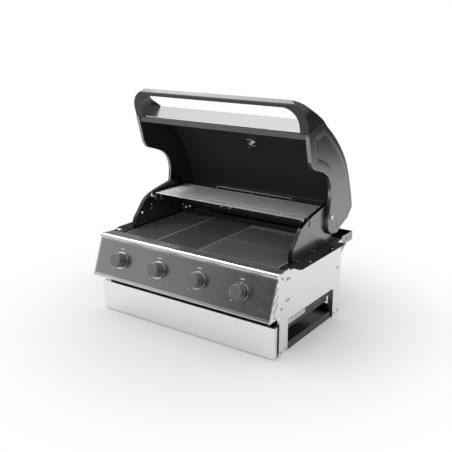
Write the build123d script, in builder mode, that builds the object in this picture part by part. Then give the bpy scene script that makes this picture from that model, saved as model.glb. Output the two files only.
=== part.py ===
from build123d import *
import math
import os

os.makedirs("parts", exist_ok=True)

# A built-in gas grill with a roll-back hood, shown open, in millimetres.
# X runs across, Y to the back, Z up. The origin is the middle of the base, on the floor.
# In the sketches, depth is measured back from the front edge of the front legs.

# Base and sheet
base_width = 740.8
base_depth = 431.0
sheet = 1.2
leg_sheet = 1.5
half = base_width / 2
front = -base_depth / 2
overrun = 60.0

# Base pan and front legs
pan_step = 6.4
pan_half = half - pan_step
pan_height = 27.5
leg_step = 0.6
leg_half = half + leg_step
leg_depth = 54.5
leg_height = 149.0
leg_lip = 9.0

# Side panels with their rear legs
panel_front = 32.0
panel_top = 291.0
strip_front = 17.0
strip_back = 57.0
strip_bend = 33.0
strip_step = 0.5
cutout_top = 115.5
rear_leg_depth = 51.0
cutout_back = base_depth - rear_leg_depth
cutout_radius = 8.0
panel_return = 24.0
leg_return = 19.0
pan_gap = 0.5

# Counter flange and firebox
counter_z = 284.0
flange_reach = 29.6
flange_half = half + flange_reach
flange_front = 80.0
flange_end = 28.0
flange_back = base_depth - flange_end
flange_corner = 7.0
box_step = 30.4
box_half = half - box_step
box_wall = 1.5
box_front = 39.0
box_end = 20.0
box_back = base_depth - box_end
box_back_top = 300.0
hopper_top = 190.0
hopper_bottom = 150.0
hopper_inset = 40.0
ledge_width = 20.0
counter_hole_radius = 4.0
counter_hole_inset = 15.0
counter_hole_x = flange_half - counter_hole_inset
counter_hole_setback = 87.0
counter_hole_front = flange_front + counter_hole_setback
counter_hole_end = 77.0
counter_hole_back = flange_back - counter_hole_end

# Cooking surface
grate_top = 283.0
grate_height = 13.0
grate_gap = 2.0
grate_front = box_front + grate_gap
grate_back = box_back - grate_gap
grate_split = -175.5
plate_split = 11.0
split_gap = 1.0
cook_gap = 9.5
cook_half = box_half - cook_gap
bar_pitch = 14.0
bar_width = 6.0
rib_width = 7.0
rib_drop = 2.5
rib_depths = (92.0, 171.0, 258.0)
edge_bar = 9.0
front_bar = 12.0
notch_width = 22.0
notch_depth = 14.0
hot_pitch = 8.5
hot_groove = 4.2
hot_groove_depth = 2.5
hot_plate_thickness = 8.0
hot_border = 16.0
hot_cross = 208.5
hot_cross_width = 6.0
hot_slot_end = 33.0
hot_slot_depth = grate_back - hot_slot_end
hot_slot_length = 30.0
hot_slot_width = 6.0
hot_lip_height = 4.0
hot_lip_end = 17.0
hot_lip_width = 7.0
hot_lip_back = grate_back - hot_lip_end
hot_lip_front = hot_lip_back - hot_lip_width

# Side wings
wing_gap = 5.0
wing_half = box_half + wing_gap
wing_sheet = 1.5
wing_front = 109.0
wing_end = 3.0
wing_back = flange_back - wing_end
wing_top = 436.0
wing_rim = 14.0
wing_corner = 14.0
wing_foot = 13.0
wing_foot_gap = 15.0
wing_foot_front = wing_front + wing_foot_gap
wing_foot_end = 8.0
wing_foot_back = wing_back - wing_foot_end
wing_edge_shares = (
    (0.02, 0.04), (0.045, 0.29), (0.10, 0.40), (0.227, 0.664), (0.32, 0.753), (0.508, 0.85),
    (0.777, 0.947), (0.88, 1.0)
)
wing_hole_radius = 2.0
wing_port_radius = 4.5
wing_holes = {
    "left": (
        (168.7, 331.5, wing_port_radius), (223.0, 353.0, wing_hole_radius), (223.0, 336.5, wing_hole_radius)
    ),
    "right": ((238.4, 346.9, wing_hole_radius), (238.3, 329.6, wing_hole_radius))
}

# Rear trough
trough_overhang = 85.5
trough_back = base_depth + trough_overhang
trough_under = 264.0
trough_top = 296.7
trough_front_top = 286.5
trough_sheet = 1.5
gusset_height = 30.0
gusset_reach = 36.0
trough_holes = ((45.6, 15.0, 4.5), (19.4, 15.2, 3.3))

# Vents of the rear panel
vent_length = 60.0
vent_width = 6.0
vent_columns = 6
vent_rows = 2
vent_pitch = 95.0
vent_rise = 22.0

# Control panel: the dark inset leans back from its lower edge
inset_depth = -68.6
inset_z = 158.6
inset_length = 126.2
inset_step = 0.4
inset_half = half - inset_step
inset_sheet = 1.0
lean = 20.2
lip_drop = 14.0
lip_depth = 28.0
lip_radius = 4.0
bead_radius = 9.5
bead_depth = -18.5
bead_mid_angle = 135.0
bead_z = 286.5
ledge_z = 291.0
ledge_back = 32.0
ledge_drop = 15.0
frame_step = 4.1
frame_half = half + frame_step
cheek_sheet = 1.5
cheek_back = 13.0
cheek_bottom = 154.0
cheek_step = 7.0
cheek_slot_width = 4.0
cheek_slot_first = 18.0
cheek_slot_growth = 8.6
cheek_slot_pitch = 24.7
cheek_slot_top = 275.0
cheek_slot_depth = -20.0
cheek_slot_angle = 45.0
cheek_slot_count = 4

# Knobs, valves and burners
knob_pitch = 171.0
knob_shift = -5.0
knob_count = 4
knob_height = 63.0
knob_radius = 26.0
knob_face_radius = 24.0
knob_face = 33.0
knob_push = 3.0
knob_clearance = 1.4
knob_hollow_radius = 21.0
knob_hub_radius = 8.0
knob_roof = 9.0
knob_edge = 2.5
knob_pointer_radius = 1.8
knob_pointer_reach = 19.5
knob_pointer_depth = 1.0
knob_pointer_angle = 204.0
bezel_radius = 30.5
bezel_inner = 27.2
bezel_height = 1.6
bezel_floor = 0.8
stem_radius = 3.0
running_fit = 0.06
stem_hole_radius = 9.0
stem_reach = 24.0
stem_inside = 12.0
valve_radius = 11.0
valve_depth = 38.0
valve_inlet_width = 14.0
spud_radius = 5.0
spud_reach = 10.0
manifold_size = 22.0
manifold_wall = 2.0
manifold_end_gap = 74.5
manifold_half = frame_half - manifold_end_gap
manifold_drop = 16.0
manifold_start = 13.0
inlet_block = 22.0
inlet_radius = 7.9
inlet_length = 24.0
inlet_bore = 5.0
inlet_port_radius = 12.0
mouth_radius = 14.0
mouth_front = 2.0
mouth_length = 18.0
neck_radius = 11.0
neck_bore = 9.2
burner_radius = 18.0
burner_wall = 1.5
burner_front = 76.0
burner_end = 23.0
burner_back = box_back - burner_end
burner_pin_radius = 4.0
port_radius = 1.4
port_count = 22
port_lift = 7.0
electrode_radius = 3.5
electrode_front = 30.0
electrode_back = 78.0
electrode_wire = 1.0
electrode_tip = 100.0
electrode_offset = 26.0
loose_fit = 0.3
tamer_half = 56.0
tamer_foot = 12.0
tamer_rise = 24.0
tamer_ledge_z = 238.0

# Drip drawer
drawer_step = 0.4
drawer_half = half - drawer_step
drawer_bottom = 4.1
drawer_top = 112.6
drawer_face = -27.9
drawer_rear = -12.0
drawer_radius = 3.0
tray_step = 25.0
tray_half = drawer_half - tray_step
tray_bottom = 60.0
tray_end = 2.0
tray_back = cutout_back - tray_end
tray_sheet = 1.0
runner_step = 11.0
runner_x = leg_half - runner_step
runner_width = 11.0
runner_inner = runner_x - runner_width
runner_low = 88.0
runner_high = 104.0
runner_front = 3.0
runner_back = 189.0
runner_foot_back = 51.5
runner_foot_height = 12.0

# Warming rack
rack_z = 400.0
rack_overhang = 8.0
rack_length = 180.0
rack_back = wing_back + rack_overhang
rack_front = rack_back - rack_length
rack_gap = 23.0
rack_half = wing_half - rack_gap
rack_wire_end = 12.0
rack_end = rack_half - rack_wire_end
rack_wire = 1.5
rack_pitch = 12.0
rack_rod = 2.2
rack_weld = 0.8
rack_rod_front = 64.0
rack_rod_middle = rack_front + rack_rod_front
rack_supports = (-206.0, -9.0, 28.0, 217.0)
rack_support_reach = 11.0
rack_support_front = rack_front - rack_support_reach
rail_left = -155.0
rail_right = 178.0
rail_post = 6.0
rail_height = 16.0
rail_bend = 6.0
hanger_x = rack_half
hanger_overhang = 5.0
hanger_reach = wing_half + hanger_overhang
hanger_step = 1.5
hanger_front = rack_front - hanger_step
hanger_notch_z = 384.0
hanger_length = 30.0
hanger_back = rack_front + hanger_length
hanger_back_z = 375.0
hanger_front_z = 376.0
hanger_rod = 2.5
notch_slot = 6.0
shelf_pin_radius = 3.0
shelf_pin_length = 33.0
shelf_pin_reach = wing_half - shelf_pin_length

# Hood, drawn closed about its pivot: depth from the pivot and height above it
hinge_end = 44.9
hinge_depth = wing_back - hinge_end
hinge_z = 385.0
open_angle = 74.0
cap_gap = 2.0
cap_depth = 13.0
cap_inner = wing_half + cap_gap
cap_half = cap_inner + cap_depth

cap_sheet = 2.6
cap_rim = 3.0
hood_front_gap = 7.1
hood_front = hinge_depth - hood_front_gap
hood_rise = 169.6
hood_skin_sheet = 1.2
skin_recess = 1.0
liner_depth = 17.5
liner_sheet = 1.0
hood_foot = 90.0
front_face_low = 79.0
front_face_high = 15.0
front_face_sheet = 1.2
front_face_proud = 3.5
band_front = 81.1
band_rear = 85.9
band_width = 17.0
band_sheet = 1.5
contour_shares = (
    (-1.0, 0.123), (-0.902, 0.298), (-0.793, 0.476), (-0.662, 0.654), (-0.497, 0.829),
    (-0.352, 0.923), (-0.203, 0.971), (-0.056, 0.996), (0.088, 1.0)
)
back_shares = (
    (0.088, 1.0), (0.14, 0.985), (0.213, 0.731), (0.224, 0.389), (0.25, 0.2), (0.178, -0.083),
    (0.129, -0.1416)
)
inner_shares = (
    (0.129, -0.1416), (0.02, -0.12), (-0.181, 0.069), (-0.325, 0.127), (-0.431, 0.062), (-0.56, -0.22),
    (-0.649, -0.489)
)
heel_share = (-0.73, -0.542)
back_straight = 9.096
back_radius = (back_shares[1][0] - back_shares[0][0]) * hood_front - back_straight

# Hood handle
arm_width = 32.0
arm_inner = cap_half - arm_width
handle_outer = 106.0
handle_inner = 87.0
handle_shares = (
    (-1.0, 0.123), (-1.088, -0.048), (-1.167, -0.206), (-1.25, -0.324), (-1.304, -0.398), (-1.289, -0.49),
    (-1.28, -0.513)
)
handle_foot = 87.0
handle_corner = 70.0
handle_inside_corner = 57.0

# Thermometer, hinge bolts and screws
gauge_share = 0.42
gauge_lift = 0.3
gauge_radius = 32.0
gauge_height = 11.0
gauge_wall = 2.5
gauge_floor = 2.0
gauge_dial = 0.8
gauge_stem_radius = 4.0
gauge_stem_reach = 45.0
gauge_nut_radius = 9.0
gauge_nut_height = 5.0
gauge_flange_radius = 21.0
gauge_flange_sheet = 2.0
gauge_flange_gap = 1.1
needle_width = 2.0
needle_height = 0.6
lens_sheet = 1.5
lens_seat = 1.2
bolt_radius = 5.0
bolt_head_radius = 9.0
bolt_head_height = 5.0
bolt_nut_reach = 15.0
bolt_inside = wing_half - bolt_nut_reach
bolt_collar_radius = 8.0
boss_radius = 14.0
bolt_nut_height = 6.0
screw_radius = 2.0
screw_head_radius = 4.5
screw_head_height = 2.0
screw_length = 10.0
screw_recess = 1.0
screw_recess_width = 1.0
screw_recess_length = 5.0
screw_fit = 0.1
strip_screws = ((39.7, 259.0), (52.4, 259.0), (39.7, 187.0), (52.4, 187.0))
leg_screws = ((10.4, 16.0), (42.4, 16.0))
rear_screw_ends = (43.0, 10.5, 27.0)
rear_screw_heights = (16.0, 16.0, 187.0)
rear_leg_screws = [(base_depth - end, height) for end, height in zip(rear_screw_ends, rear_screw_heights)]
cheek_screws = ((2.6, 273.5), (1.2, 171.2), (-40.8, 156.5))
wing_screw_steps = (16.0, 134.0, 252.0)
wing_screw_depths = [wing_foot_front + step for step in wing_screw_steps]

sides = (("left", -1), ("right", 1))
knob_places = [knob_shift + (index - (knob_count - 1) / 2) * knob_pitch for index in range(knob_count)]
lean_sin = math.sin(math.radians(lean))
lean_cos = math.cos(math.radians(lean))
swing_sin = math.sin(math.radians(open_angle))
swing_cos = math.cos(math.radians(open_angle))
wing_x = wing_half - wing_sheet
side_inner = half - sheet
flange_under = counter_z - sheet
box_outer = box_half + box_wall
grate_bottom = grate_top - grate_height
knob_base = bezel_floor + knob_push + knob_clearance
shelf_pin_z = hanger_back_z - hanger_rod - shelf_pin_radius - loose_fit
wing_foot_points = {
    hand: [(hand * (wing_half + wing_foot / 2), depth) for depth in wing_screw_depths] for hand in (-1, 1)
}


def side_plane(x):
    """Upright plane across the body at x: depth from the front edge, height above the floor."""
    return Plane(origin=(x, front, 0), x_dir=(0, 1, 0), z_dir=(1, 0, 0))


def level(z):
    """Level plane at z: x, depth from the front edge."""
    return Plane(origin=(0, front, z), x_dir=(1, 0, 0), z_dir=(0, 0, 1))


def upright(depth):
    """Upright plane facing the front: x, height. Its normal points forward."""
    return Plane(origin=(0, front + depth, 0), x_dir=(1, 0, 0), z_dir=(0, -1, 0))


def panel_plane(x, up, out):
    """Plane of the control panel: x, distance up the slope from the inset's lower edge, out from its face."""
    depth = inset_depth + up * lean_sin - out * lean_cos
    height = inset_z + up * lean_cos + out * lean_sin
    return Plane(origin=(x, front + depth, height), x_dir=(1, 0, 0), z_dir=(0, -lean_cos, lean_sin))


def hood_plane(x):
    """Side plane of the hood as if closed, turned to its open place: depth and height from the pivot."""
    return Plane(
        origin=(x, front + hinge_depth, hinge_z), x_dir=(0, swing_cos, -swing_sin), z_dir=(1, 0, 0)
    )


def hood_level(height):
    """Level plane of the closed hood, turned to its open place: x and depth from the pivot."""
    origin = (0, front + hinge_depth + height * swing_sin, hinge_z + height * swing_cos)
    return Plane(origin=origin, x_dir=(1, 0, 0), z_dir=(0, swing_sin, swing_cos))


def rect(x0, y0, x1, y1, mode=Mode.ADD):
    """Rectangle between two opposite corners, in the sketch that is open."""
    with Locations(((x0 + x1) / 2, (y0 + y1) / 2)):
        Rectangle(abs(x1 - x0), abs(y1 - y0), mode=mode)


def spots(points, radius):
    """Circles at the given points, in the sketch that is open."""
    with Locations(*points):
        Circle(radius)


def scaled(shares, width, height):
    """Points of an outline from their shares of its width and height."""
    return [(across * width, up * height) for across, up in shares]


def inset(points, reach, closed=False):
    """The points moved to the right of their line, so that the line keeps the given distance."""
    moved = []
    last = len(points) - 1
    for index, (across, up) in enumerate(points):
        before = points[index - 1] if index > 0 or closed else None
        after = points[(index + 1) % len(points)] if index < last or closed else None
        turns = []
        for start, end in ((before, (across, up)), ((across, up), after)):
            if start is not None and end is not None:
                length = math.dist(start, end)
                turns.append(((end[1] - start[1]) / length, (start[0] - end[0]) / length))
        first, second = turns[0], turns[-1]
        stretch = reach / (1 + first[0] * second[0] + first[1] * second[1])
        moved.append((across + (first[0] + second[0]) * stretch, up + (first[1] + second[1]) * stretch))
    return moved


hood_contour = scaled(contour_shares, hood_front, hood_rise)
hood_back = scaled(back_shares, hood_front, hood_rise)
hood_inner = scaled(inner_shares, hood_front, hood_rise)
hood_heel = scaled((heel_share,), hood_front, hood_rise)[0]
shell_chain = [(-hood_front, -front_face_low), *hood_contour, *hood_back[1:5]]
cap_chain = [*hood_contour, *hood_back[1:], *hood_inner[1:], hood_heel, (-hood_front, -hood_foot)]
contour_end = len(hood_contour)
back_end = contour_end + len(hood_back) - 1
inner_end = back_end + len(hood_inner) - 1


def shell_line(reach):
    """Front, top and back of a hood sheet at a depth under the contour, in the line that is open."""
    chain = inset(shell_chain, reach)
    Line(chain[0], chain[1])
    Spline(*chain[1:contour_end + 1])
    FilletPolyline(*chain[contour_end:], radius=back_radius)
    return chain[0], chain[-1]


def shell_outline(near, far):
    """Outline of a hood sheet between two depths under the contour, in the line that is open."""
    near_ends = shell_line(near)
    far_ends = shell_line(far)
    Line(near_ends[0], far_ends[0])
    Line(near_ends[1], far_ends[1])


def cap_outline(reach):
    """Outline of a hood cap at a depth inside its edge, in the line that is open."""
    chain = inset(cap_chain, reach, closed=True)
    Spline(*chain[:contour_end])
    FilletPolyline(*chain[contour_end - 1:back_end], radius=back_radius)
    Spline(*chain[back_end - 1:inner_end])
    Polyline(*chain[inner_end - 1:], chain[0])


# Black base pan on the floor
with BuildPart() as base_pan:
    with BuildSketch(level(0)):
        rect(-pan_half, leg_sheet, pan_half, base_depth - sheet)
    extrude(amount=pan_height)
    with BuildSketch(level(sheet)):
        rect(-pan_half + sheet, leg_sheet + sheet, pan_half - sheet, base_depth - 2 * sheet)
    extrude(amount=pan_height, mode=Mode.SUBTRACT)
    with BuildSketch(side_plane(-half - overrun)):
        spots((leg_screws[0], leg_screws[1]), screw_radius + screw_fit)
        spots((rear_leg_screws[0], rear_leg_screws[1]), screw_radius + screw_fit)
    extrude(amount=base_width + 2 * overrun, mode=Mode.SUBTRACT)
base_pan.part.label = "base_pan"
export_step(base_pan.part, "parts/base_pan.step")

for side, hand in sides:
    # Front leg, a folded channel that holds the pan
    with BuildPart() as front_leg:
        with BuildSketch(level(0)):
            rect(hand * (leg_half - leg_sheet), 0, hand * leg_half, leg_depth)
            rect(hand * (leg_half - leg_lip), 0, hand * leg_half, leg_sheet)
            rect(hand * pan_half, leg_depth - leg_sheet, hand * leg_half, leg_depth)
        extrude(amount=leg_height)
        with BuildSketch(side_plane(hand * leg_half)):
            spots(leg_screws, screw_radius + screw_fit)
        extrude(amount=-hand * leg_sheet, mode=Mode.SUBTRACT)
    front_leg.part.label = f"front_leg_{side}"
    export_step(front_leg.part, f"parts/front_leg_{side}.step")

    # Side panel in one sheet with the rear leg, folded in at its front and back edges
    with BuildPart() as side_panel:
        with BuildSketch(side_plane(hand * side_inner)) as panel_face:
            rect(panel_front, leg_height, strip_back, panel_top)
            rect(leg_depth, cutout_top, flange_back, flange_under)
            rect(flange_back, cutout_top, base_depth, trough_front_top)
            rect(cutout_back, 0, base_depth, cutout_top)
            rect(panel_front, leg_height, flange_back, flange_under)
            inner_corner = panel_face.vertices().sort_by_distance(
                (hand * side_inner, front + cutout_back, cutout_top)
            )[0]
            fillet(inner_corner, radius=cutout_radius)
        extrude(amount=hand * sheet)
        with BuildSketch(level(leg_height)):
            rect(hand * side_inner, panel_front, hand * (side_inner - panel_return), panel_front + sheet)
        extrude(amount=flange_under - sheet - leg_height)
        with BuildSketch(level(0)):
            rect(hand * side_inner, base_depth - sheet, hand * (side_inner - panel_return), base_depth)
        extrude(amount=trough_front_top)
        with BuildSketch(level(pan_height + pan_gap)):
            rect(hand * side_inner, cutout_back, hand * (side_inner - leg_return), cutout_back + sheet)
        extrude(amount=cutout_top - cutout_radius - pan_height - pan_gap)
        with BuildSketch(side_plane(hand * (side_inner - overrun))):
            spots(strip_screws, screw_radius + screw_fit)
            spots(rear_leg_screws, screw_radius + screw_fit)
        extrude(amount=2 * hand * overrun, mode=Mode.SUBTRACT)
    side_panel.part.label = f"side_panel_{side}"
    export_step(side_panel.part, f"parts/side_panel_{side}.step")

    # Corner strip over the front edge of the side panel, stepped along its middle
    with BuildPart() as corner_strip:
        with BuildSketch(side_plane(hand * half)):
            rect(strip_front, leg_height, strip_bend, panel_top)
        extrude(amount=hand * leg_sheet)
        with BuildSketch(side_plane(hand * half)):
            rect(strip_bend, leg_height, strip_back, panel_top)
        extrude(amount=hand * (leg_sheet - strip_step))
        with BuildSketch(side_plane(hand * half)):
            spots(strip_screws, screw_radius + screw_fit)
        extrude(amount=hand * leg_sheet, mode=Mode.SUBTRACT)
    corner_strip.part.label = f"corner_strip_{side}"
    export_step(corner_strip.part, f"parts/corner_strip_{side}.step")

# Rear panel between the side panels, with two rows of vents
with BuildPart() as rear_panel:
    with BuildSketch(upright(base_depth - sheet)):
        rect(-side_inner, cutout_top, side_inner, trough_front_top)
        with Locations((0, (cutout_top + trough_front_top) / 2)):
            with GridLocations(vent_pitch, vent_rise, vent_columns, vent_rows):
                SlotOverall(vent_length, vent_width, mode=Mode.SUBTRACT)
    extrude(amount=sheet)
rear_panel.part.label = "rear_panel"
export_step(rear_panel.part, "parts/rear_panel.step")

# Firebox: open box with a hopper below, ledges inside and a flange around its top
burner_z = inset_z + knob_height * lean_cos - (valve_depth - neck_bore) * lean_sin
with BuildPart() as firebox:
    with BuildSketch(level(hopper_top)):
        rect(-box_outer, box_front - box_wall, box_outer, box_back + box_wall)
    extrude(amount=flange_under - hopper_top)
    with BuildSketch(level(flange_under - sheet)):
        rect(-side_inner, panel_front, side_inner, base_depth - 2 * sheet)
    extrude(amount=sheet)
    with BuildSketch(level(hopper_top)):
        rect(-box_outer, box_front - box_wall, box_outer, box_back + box_wall)
    with BuildSketch(level(hopper_bottom)):
        rect(
            hopper_inset - box_outer, box_front - box_wall + hopper_inset,
            box_outer - hopper_inset, box_back + box_wall - hopper_inset
        )
    loft()
    with BuildSketch(level(hopper_top)):
        rect(-box_half, box_front, box_half, box_back)
    extrude(amount=overrun + flange_under - hopper_top, mode=Mode.SUBTRACT)
    with BuildSketch(level(hopper_top)):
        rect(-box_half, box_front, box_half, box_back)
    with BuildSketch(level(hopper_bottom)):
        rect(
            hopper_inset - box_half, box_front + hopper_inset,
            box_half - hopper_inset, box_back - hopper_inset
        )
    loft(mode=Mode.SUBTRACT)
    with BuildSketch(level(flange_under)):
        rect(-box_outer, box_back, box_outer, box_back + box_wall)
    extrude(amount=box_back_top - flange_under)
    for ledge_z_under in (grate_bottom, tamer_ledge_z):
        with BuildSketch(level(ledge_z_under - box_wall)):
            rect(-box_half, box_front, box_half, box_front + ledge_width)
            rect(-box_half, box_back - ledge_width, box_half, box_back)
        extrude(amount=box_wall)
    with BuildSketch(upright(box_front)):
        spots([(x, burner_z) for x in knob_places], neck_radius + loose_fit)
        spots([(x + electrode_offset, burner_z) for x in knob_places], electrode_radius)
    extrude(amount=box_wall, mode=Mode.SUBTRACT)
    with BuildSketch(upright(box_back + box_wall)):
        spots([(x, burner_z) for x in knob_places], burner_pin_radius + loose_fit)
    extrude(amount=box_wall, mode=Mode.SUBTRACT)
    with BuildSketch(level(flange_under)):
        for hand in (-1, 1):
            spots(wing_foot_points[hand], screw_radius + screw_fit)
    extrude(amount=-sheet, mode=Mode.SUBTRACT)
firebox.part.label = "firebox"
export_step(firebox.part, "parts/firebox.step")

wing_outline = [
    (wing_front + across * (wing_back - wing_front), counter_z + up * (wing_top - counter_z))
    for across, up in wing_edge_shares
]


def wing_edge(reach):
    """Front, top and back edge of a wing at a depth inside its outline, in the line that is open."""
    corners = [(wing_outline[0][0], counter_z), *wing_outline, (wing_back, wing_top), (wing_back, counter_z)]
    chain = inset(corners, reach)
    Line(chain[0], chain[1])
    Spline(*chain[1:-2])
    FilletPolyline(*chain[-3:], radius=wing_corner)
    return chain[0], chain[-1]


for side, hand in sides:
    # Stainless wing beside the grates: it holds the warming rack and the hood's hinge bolt
    with BuildPart() as side_wing:
        with BuildSketch(side_plane(hand * wing_x)):
            with BuildLine():
                outer_ends = wing_edge(0)
                Line(*outer_ends)
            make_face()
        extrude(amount=hand * wing_sheet)
        with BuildSketch(side_plane(hand * wing_half)):
            with BuildLine():
                outer_ends = wing_edge(0)
                inner_ends = wing_edge(wing_sheet)
                Line(outer_ends[0], inner_ends[0])
                Line(outer_ends[1], inner_ends[1])
            make_face()
        extrude(amount=-hand * wing_rim)
        with BuildSketch(level(counter_z)):
            rect(hand * wing_x, wing_foot_front, hand * (wing_half + wing_foot), wing_foot_back)
        extrude(amount=wing_sheet)
        with BuildSketch(side_plane(hand * (wing_half - wing_rim - overrun))):
            rect(
                hanger_front - notch_slot / 2, hanger_notch_z - rack_rod - loose_fit,
                hanger_front + notch_slot / 2, wing_top
            )
            spots(((hinge_depth, hinge_z),), bolt_radius + screw_fit)
            spots(((hanger_back, shelf_pin_z),), shelf_pin_radius)
            for depth, height, radius in wing_holes[side]:
                spots(((depth, height),), radius)
        extrude(amount=2 * hand * overrun, mode=Mode.SUBTRACT)
        with BuildSketch(level(counter_z)):
            spots(wing_foot_points[hand], screw_radius + screw_fit)
        extrude(amount=wing_sheet, mode=Mode.SUBTRACT)
    side_wing.part.label = f"side_wing_{side}"
    export_step(side_wing.part, f"parts/side_wing_{side}.step")

    # Black flange that lies on the counter beside the wing
    with BuildPart() as counter_flange:
        with BuildSketch(level(flange_under)) as flange_face:
            rect(hand * box_half, flange_front, hand * flange_half, flange_back)
            corner_place = (hand * flange_half, front + flange_front, flange_under)
            corner = flange_face.vertices().sort_by_distance(corner_place)[0]
            chamfer(corner, length=flange_corner)
        extrude(amount=sheet)
        with BuildSketch(level(flange_under)):
            spots(wing_foot_points[hand], screw_radius + screw_fit)
            spots(
                ((hand * counter_hole_x, counter_hole_front), (hand * counter_hole_x, counter_hole_back)),
                counter_hole_radius
            )
        extrude(amount=sheet, mode=Mode.SUBTRACT)
    counter_flange.part.label = f"counter_flange_{side}"
    export_step(counter_flange.part, f"parts/counter_flange_{side}.step")

    # End plate of the rear trough
    with BuildPart() as trough_end:
        with BuildSketch(side_plane(hand * half)):
            rect(base_depth, trough_under, trough_back, trough_top)
            for end, rise, radius in trough_holes:
                with Locations((trough_back - end, trough_under + rise)):
                    Circle(radius, mode=Mode.SUBTRACT)
        extrude(amount=-hand * trough_sheet)
    trough_end.part.label = f"trough_end_{side}"
    export_step(trough_end.part, f"parts/trough_end_{side}.step")

# Trough behind the body, under the open hood: floor, front upstand on the rear legs, and back wall
trough_half = half - trough_sheet
with BuildPart() as rear_trough:
    with BuildSketch(level(trough_under)):
        rect(-trough_half, base_depth, trough_half, trough_back)
    extrude(amount=trough_sheet)
    with BuildSketch(level(trough_under)):
        rect(-trough_half, base_depth, trough_half, base_depth + trough_sheet)
    extrude(amount=trough_front_top - trough_under)
    with BuildSketch(level(trough_under)):
        rect(-trough_half, trough_back - trough_sheet, trough_half, trough_back)
    extrude(amount=trough_top - trough_under)
rear_trough.part.label = "rear_trough"
export_step(rear_trough.part, "parts/rear_trough.step")

# Gussets under the ends of the trough, on the rear legs
with BuildPart() as trough_gussets:
    for side, hand in sides:
        with BuildSketch(side_plane(hand * half)):
            with BuildLine():
                Polyline(
                    (base_depth, trough_under), (base_depth + gusset_reach, trough_under),
                    (base_depth, trough_under - gusset_height), close=True
                )
            make_face()
        extrude(amount=-hand * trough_sheet)
trough_gussets.part.label = "trough_gussets"
export_step(trough_gussets.part, "parts/trough_gussets.step")

# Control panel frame: one folded sheet with a rolled bead along its top
frame_low = (
    inset_depth + inset_sheet * lean_cos - lip_drop * lean_sin,
    inset_z - inset_sheet * lean_sin - lip_drop * lean_cos
)
bead_behind = (bead_depth - frame_low[0]) * lean_cos - (bead_z - frame_low[1]) * lean_sin
bead_below = math.sqrt(bead_radius**2 - bead_behind**2)
bead_low_angle = math.degrees(math.atan2(
    bead_behind * lean_sin - bead_below * lean_cos, -bead_behind * lean_cos - bead_below * lean_sin
))
bead_end_angle = math.degrees(math.asin((ledge_z - bead_z) / bead_radius))


def bead_point(angle):
    """Point of the bead's outside at an angle about its centre."""
    turn = math.radians(angle)
    return (bead_depth + bead_radius * math.cos(turn), bead_z + bead_radius * math.sin(turn))


def frame_edge():
    """Outside of the frame from the lip under it to the flange behind its ledge, in the line that is open."""
    bead_low = bead_point(bead_low_angle)
    FilletPolyline((frame_low[0] + lip_depth, frame_low[1]), frame_low, bead_low, radius=lip_radius)
    ThreePointArc(bead_low, bead_point(bead_mid_angle), bead_point(bead_end_angle))
    Polyline(bead_point(bead_end_angle), (ledge_back, ledge_z), (ledge_back, ledge_z - ledge_drop))


with BuildPart() as fascia_frame:
    with BuildSketch(side_plane(-frame_half)):
        with BuildLine():
            frame_edge()
            offset(amount=sheet, side=Side.RIGHT)
        make_face()
    extrude(amount=2 * frame_half)
    with BuildSketch(level(ledge_z)):
        rect(-frame_half, cheek_back, -half, ledge_back)
        rect(half, cheek_back, frame_half, ledge_back)
    extrude(amount=-ledge_drop - sheet, mode=Mode.SUBTRACT)
    with BuildSketch(panel_plane(0, knob_height, 0)):
        spots([(x, 0) for x in knob_places], stem_hole_radius)
    extrude(amount=-inset_sheet - 2 * sheet, mode=Mode.SUBTRACT)
fascia_frame.part.label = "fascia_frame"
export_step(fascia_frame.part, "parts/fascia_frame.step")

# Dark inset on the frame
with BuildPart() as fascia_inset:
    with BuildSketch(panel_plane(0, 0, -inset_sheet)):
        rect(-inset_half, 0, inset_half, inset_length)
        with Locations(*[(x, knob_height) for x in knob_places]):
            Circle(stem_hole_radius, mode=Mode.SUBTRACT)
    extrude(amount=inset_sheet)
fascia_inset.part.label = "fascia_inset"
export_step(fascia_inset.part, "parts/fascia_inset.step")

manifold_high = knob_height - manifold_drop
inlet_axis = panel_plane(0, manifold_high - manifold_size / 2, -manifold_start - manifold_size / 2).origin
for side, hand in sides:
    # Cheek that closes the end of the control panel, with slanted vents, and a port for the gas at the left
    cheek_slots = cheek_slot_count if side == "right" else cheek_slot_count - 1
    with BuildPart() as fascia_cheek:
        with BuildSketch(side_plane(hand * frame_half)):
            with BuildLine():
                bead_low = bead_point(bead_low_angle)
                Line((frame_low[0], frame_low[1]), bead_low)
                ThreePointArc(bead_low, bead_point(bead_mid_angle), bead_point(bead_end_angle))
                Polyline(
                    bead_point(bead_end_angle), (cheek_back, ledge_z), (cheek_back, cheek_bottom),
                    (cheek_back - 3 * cheek_step, cheek_bottom),
                    (frame_low[0] + 6 * cheek_step, frame_low[1]), frame_low
                )
            make_face()
            for index in range(cheek_slots):
                length = cheek_slot_first + index * cheek_slot_growth
                middle = length / 2 * math.sin(math.radians(cheek_slot_angle))
                place = (cheek_slot_depth - middle, cheek_slot_top - index * cheek_slot_pitch - middle)
                with Locations(place):
                    SlotOverall(length, cheek_slot_width, rotation=cheek_slot_angle, mode=Mode.SUBTRACT)
            with Locations(*cheek_screws):
                Circle(screw_radius + screw_fit, mode=Mode.SUBTRACT)
            if side == "left":
                with Locations((inlet_axis.Y - front, inlet_axis.Z)):
                    Circle(inlet_port_radius, mode=Mode.SUBTRACT)
        extrude(amount=hand * cheek_sheet)
    fascia_cheek.part.label = f"fascia_cheek_{side}"
    export_step(fascia_cheek.part, f"parts/fascia_cheek_{side}.step")

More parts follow.
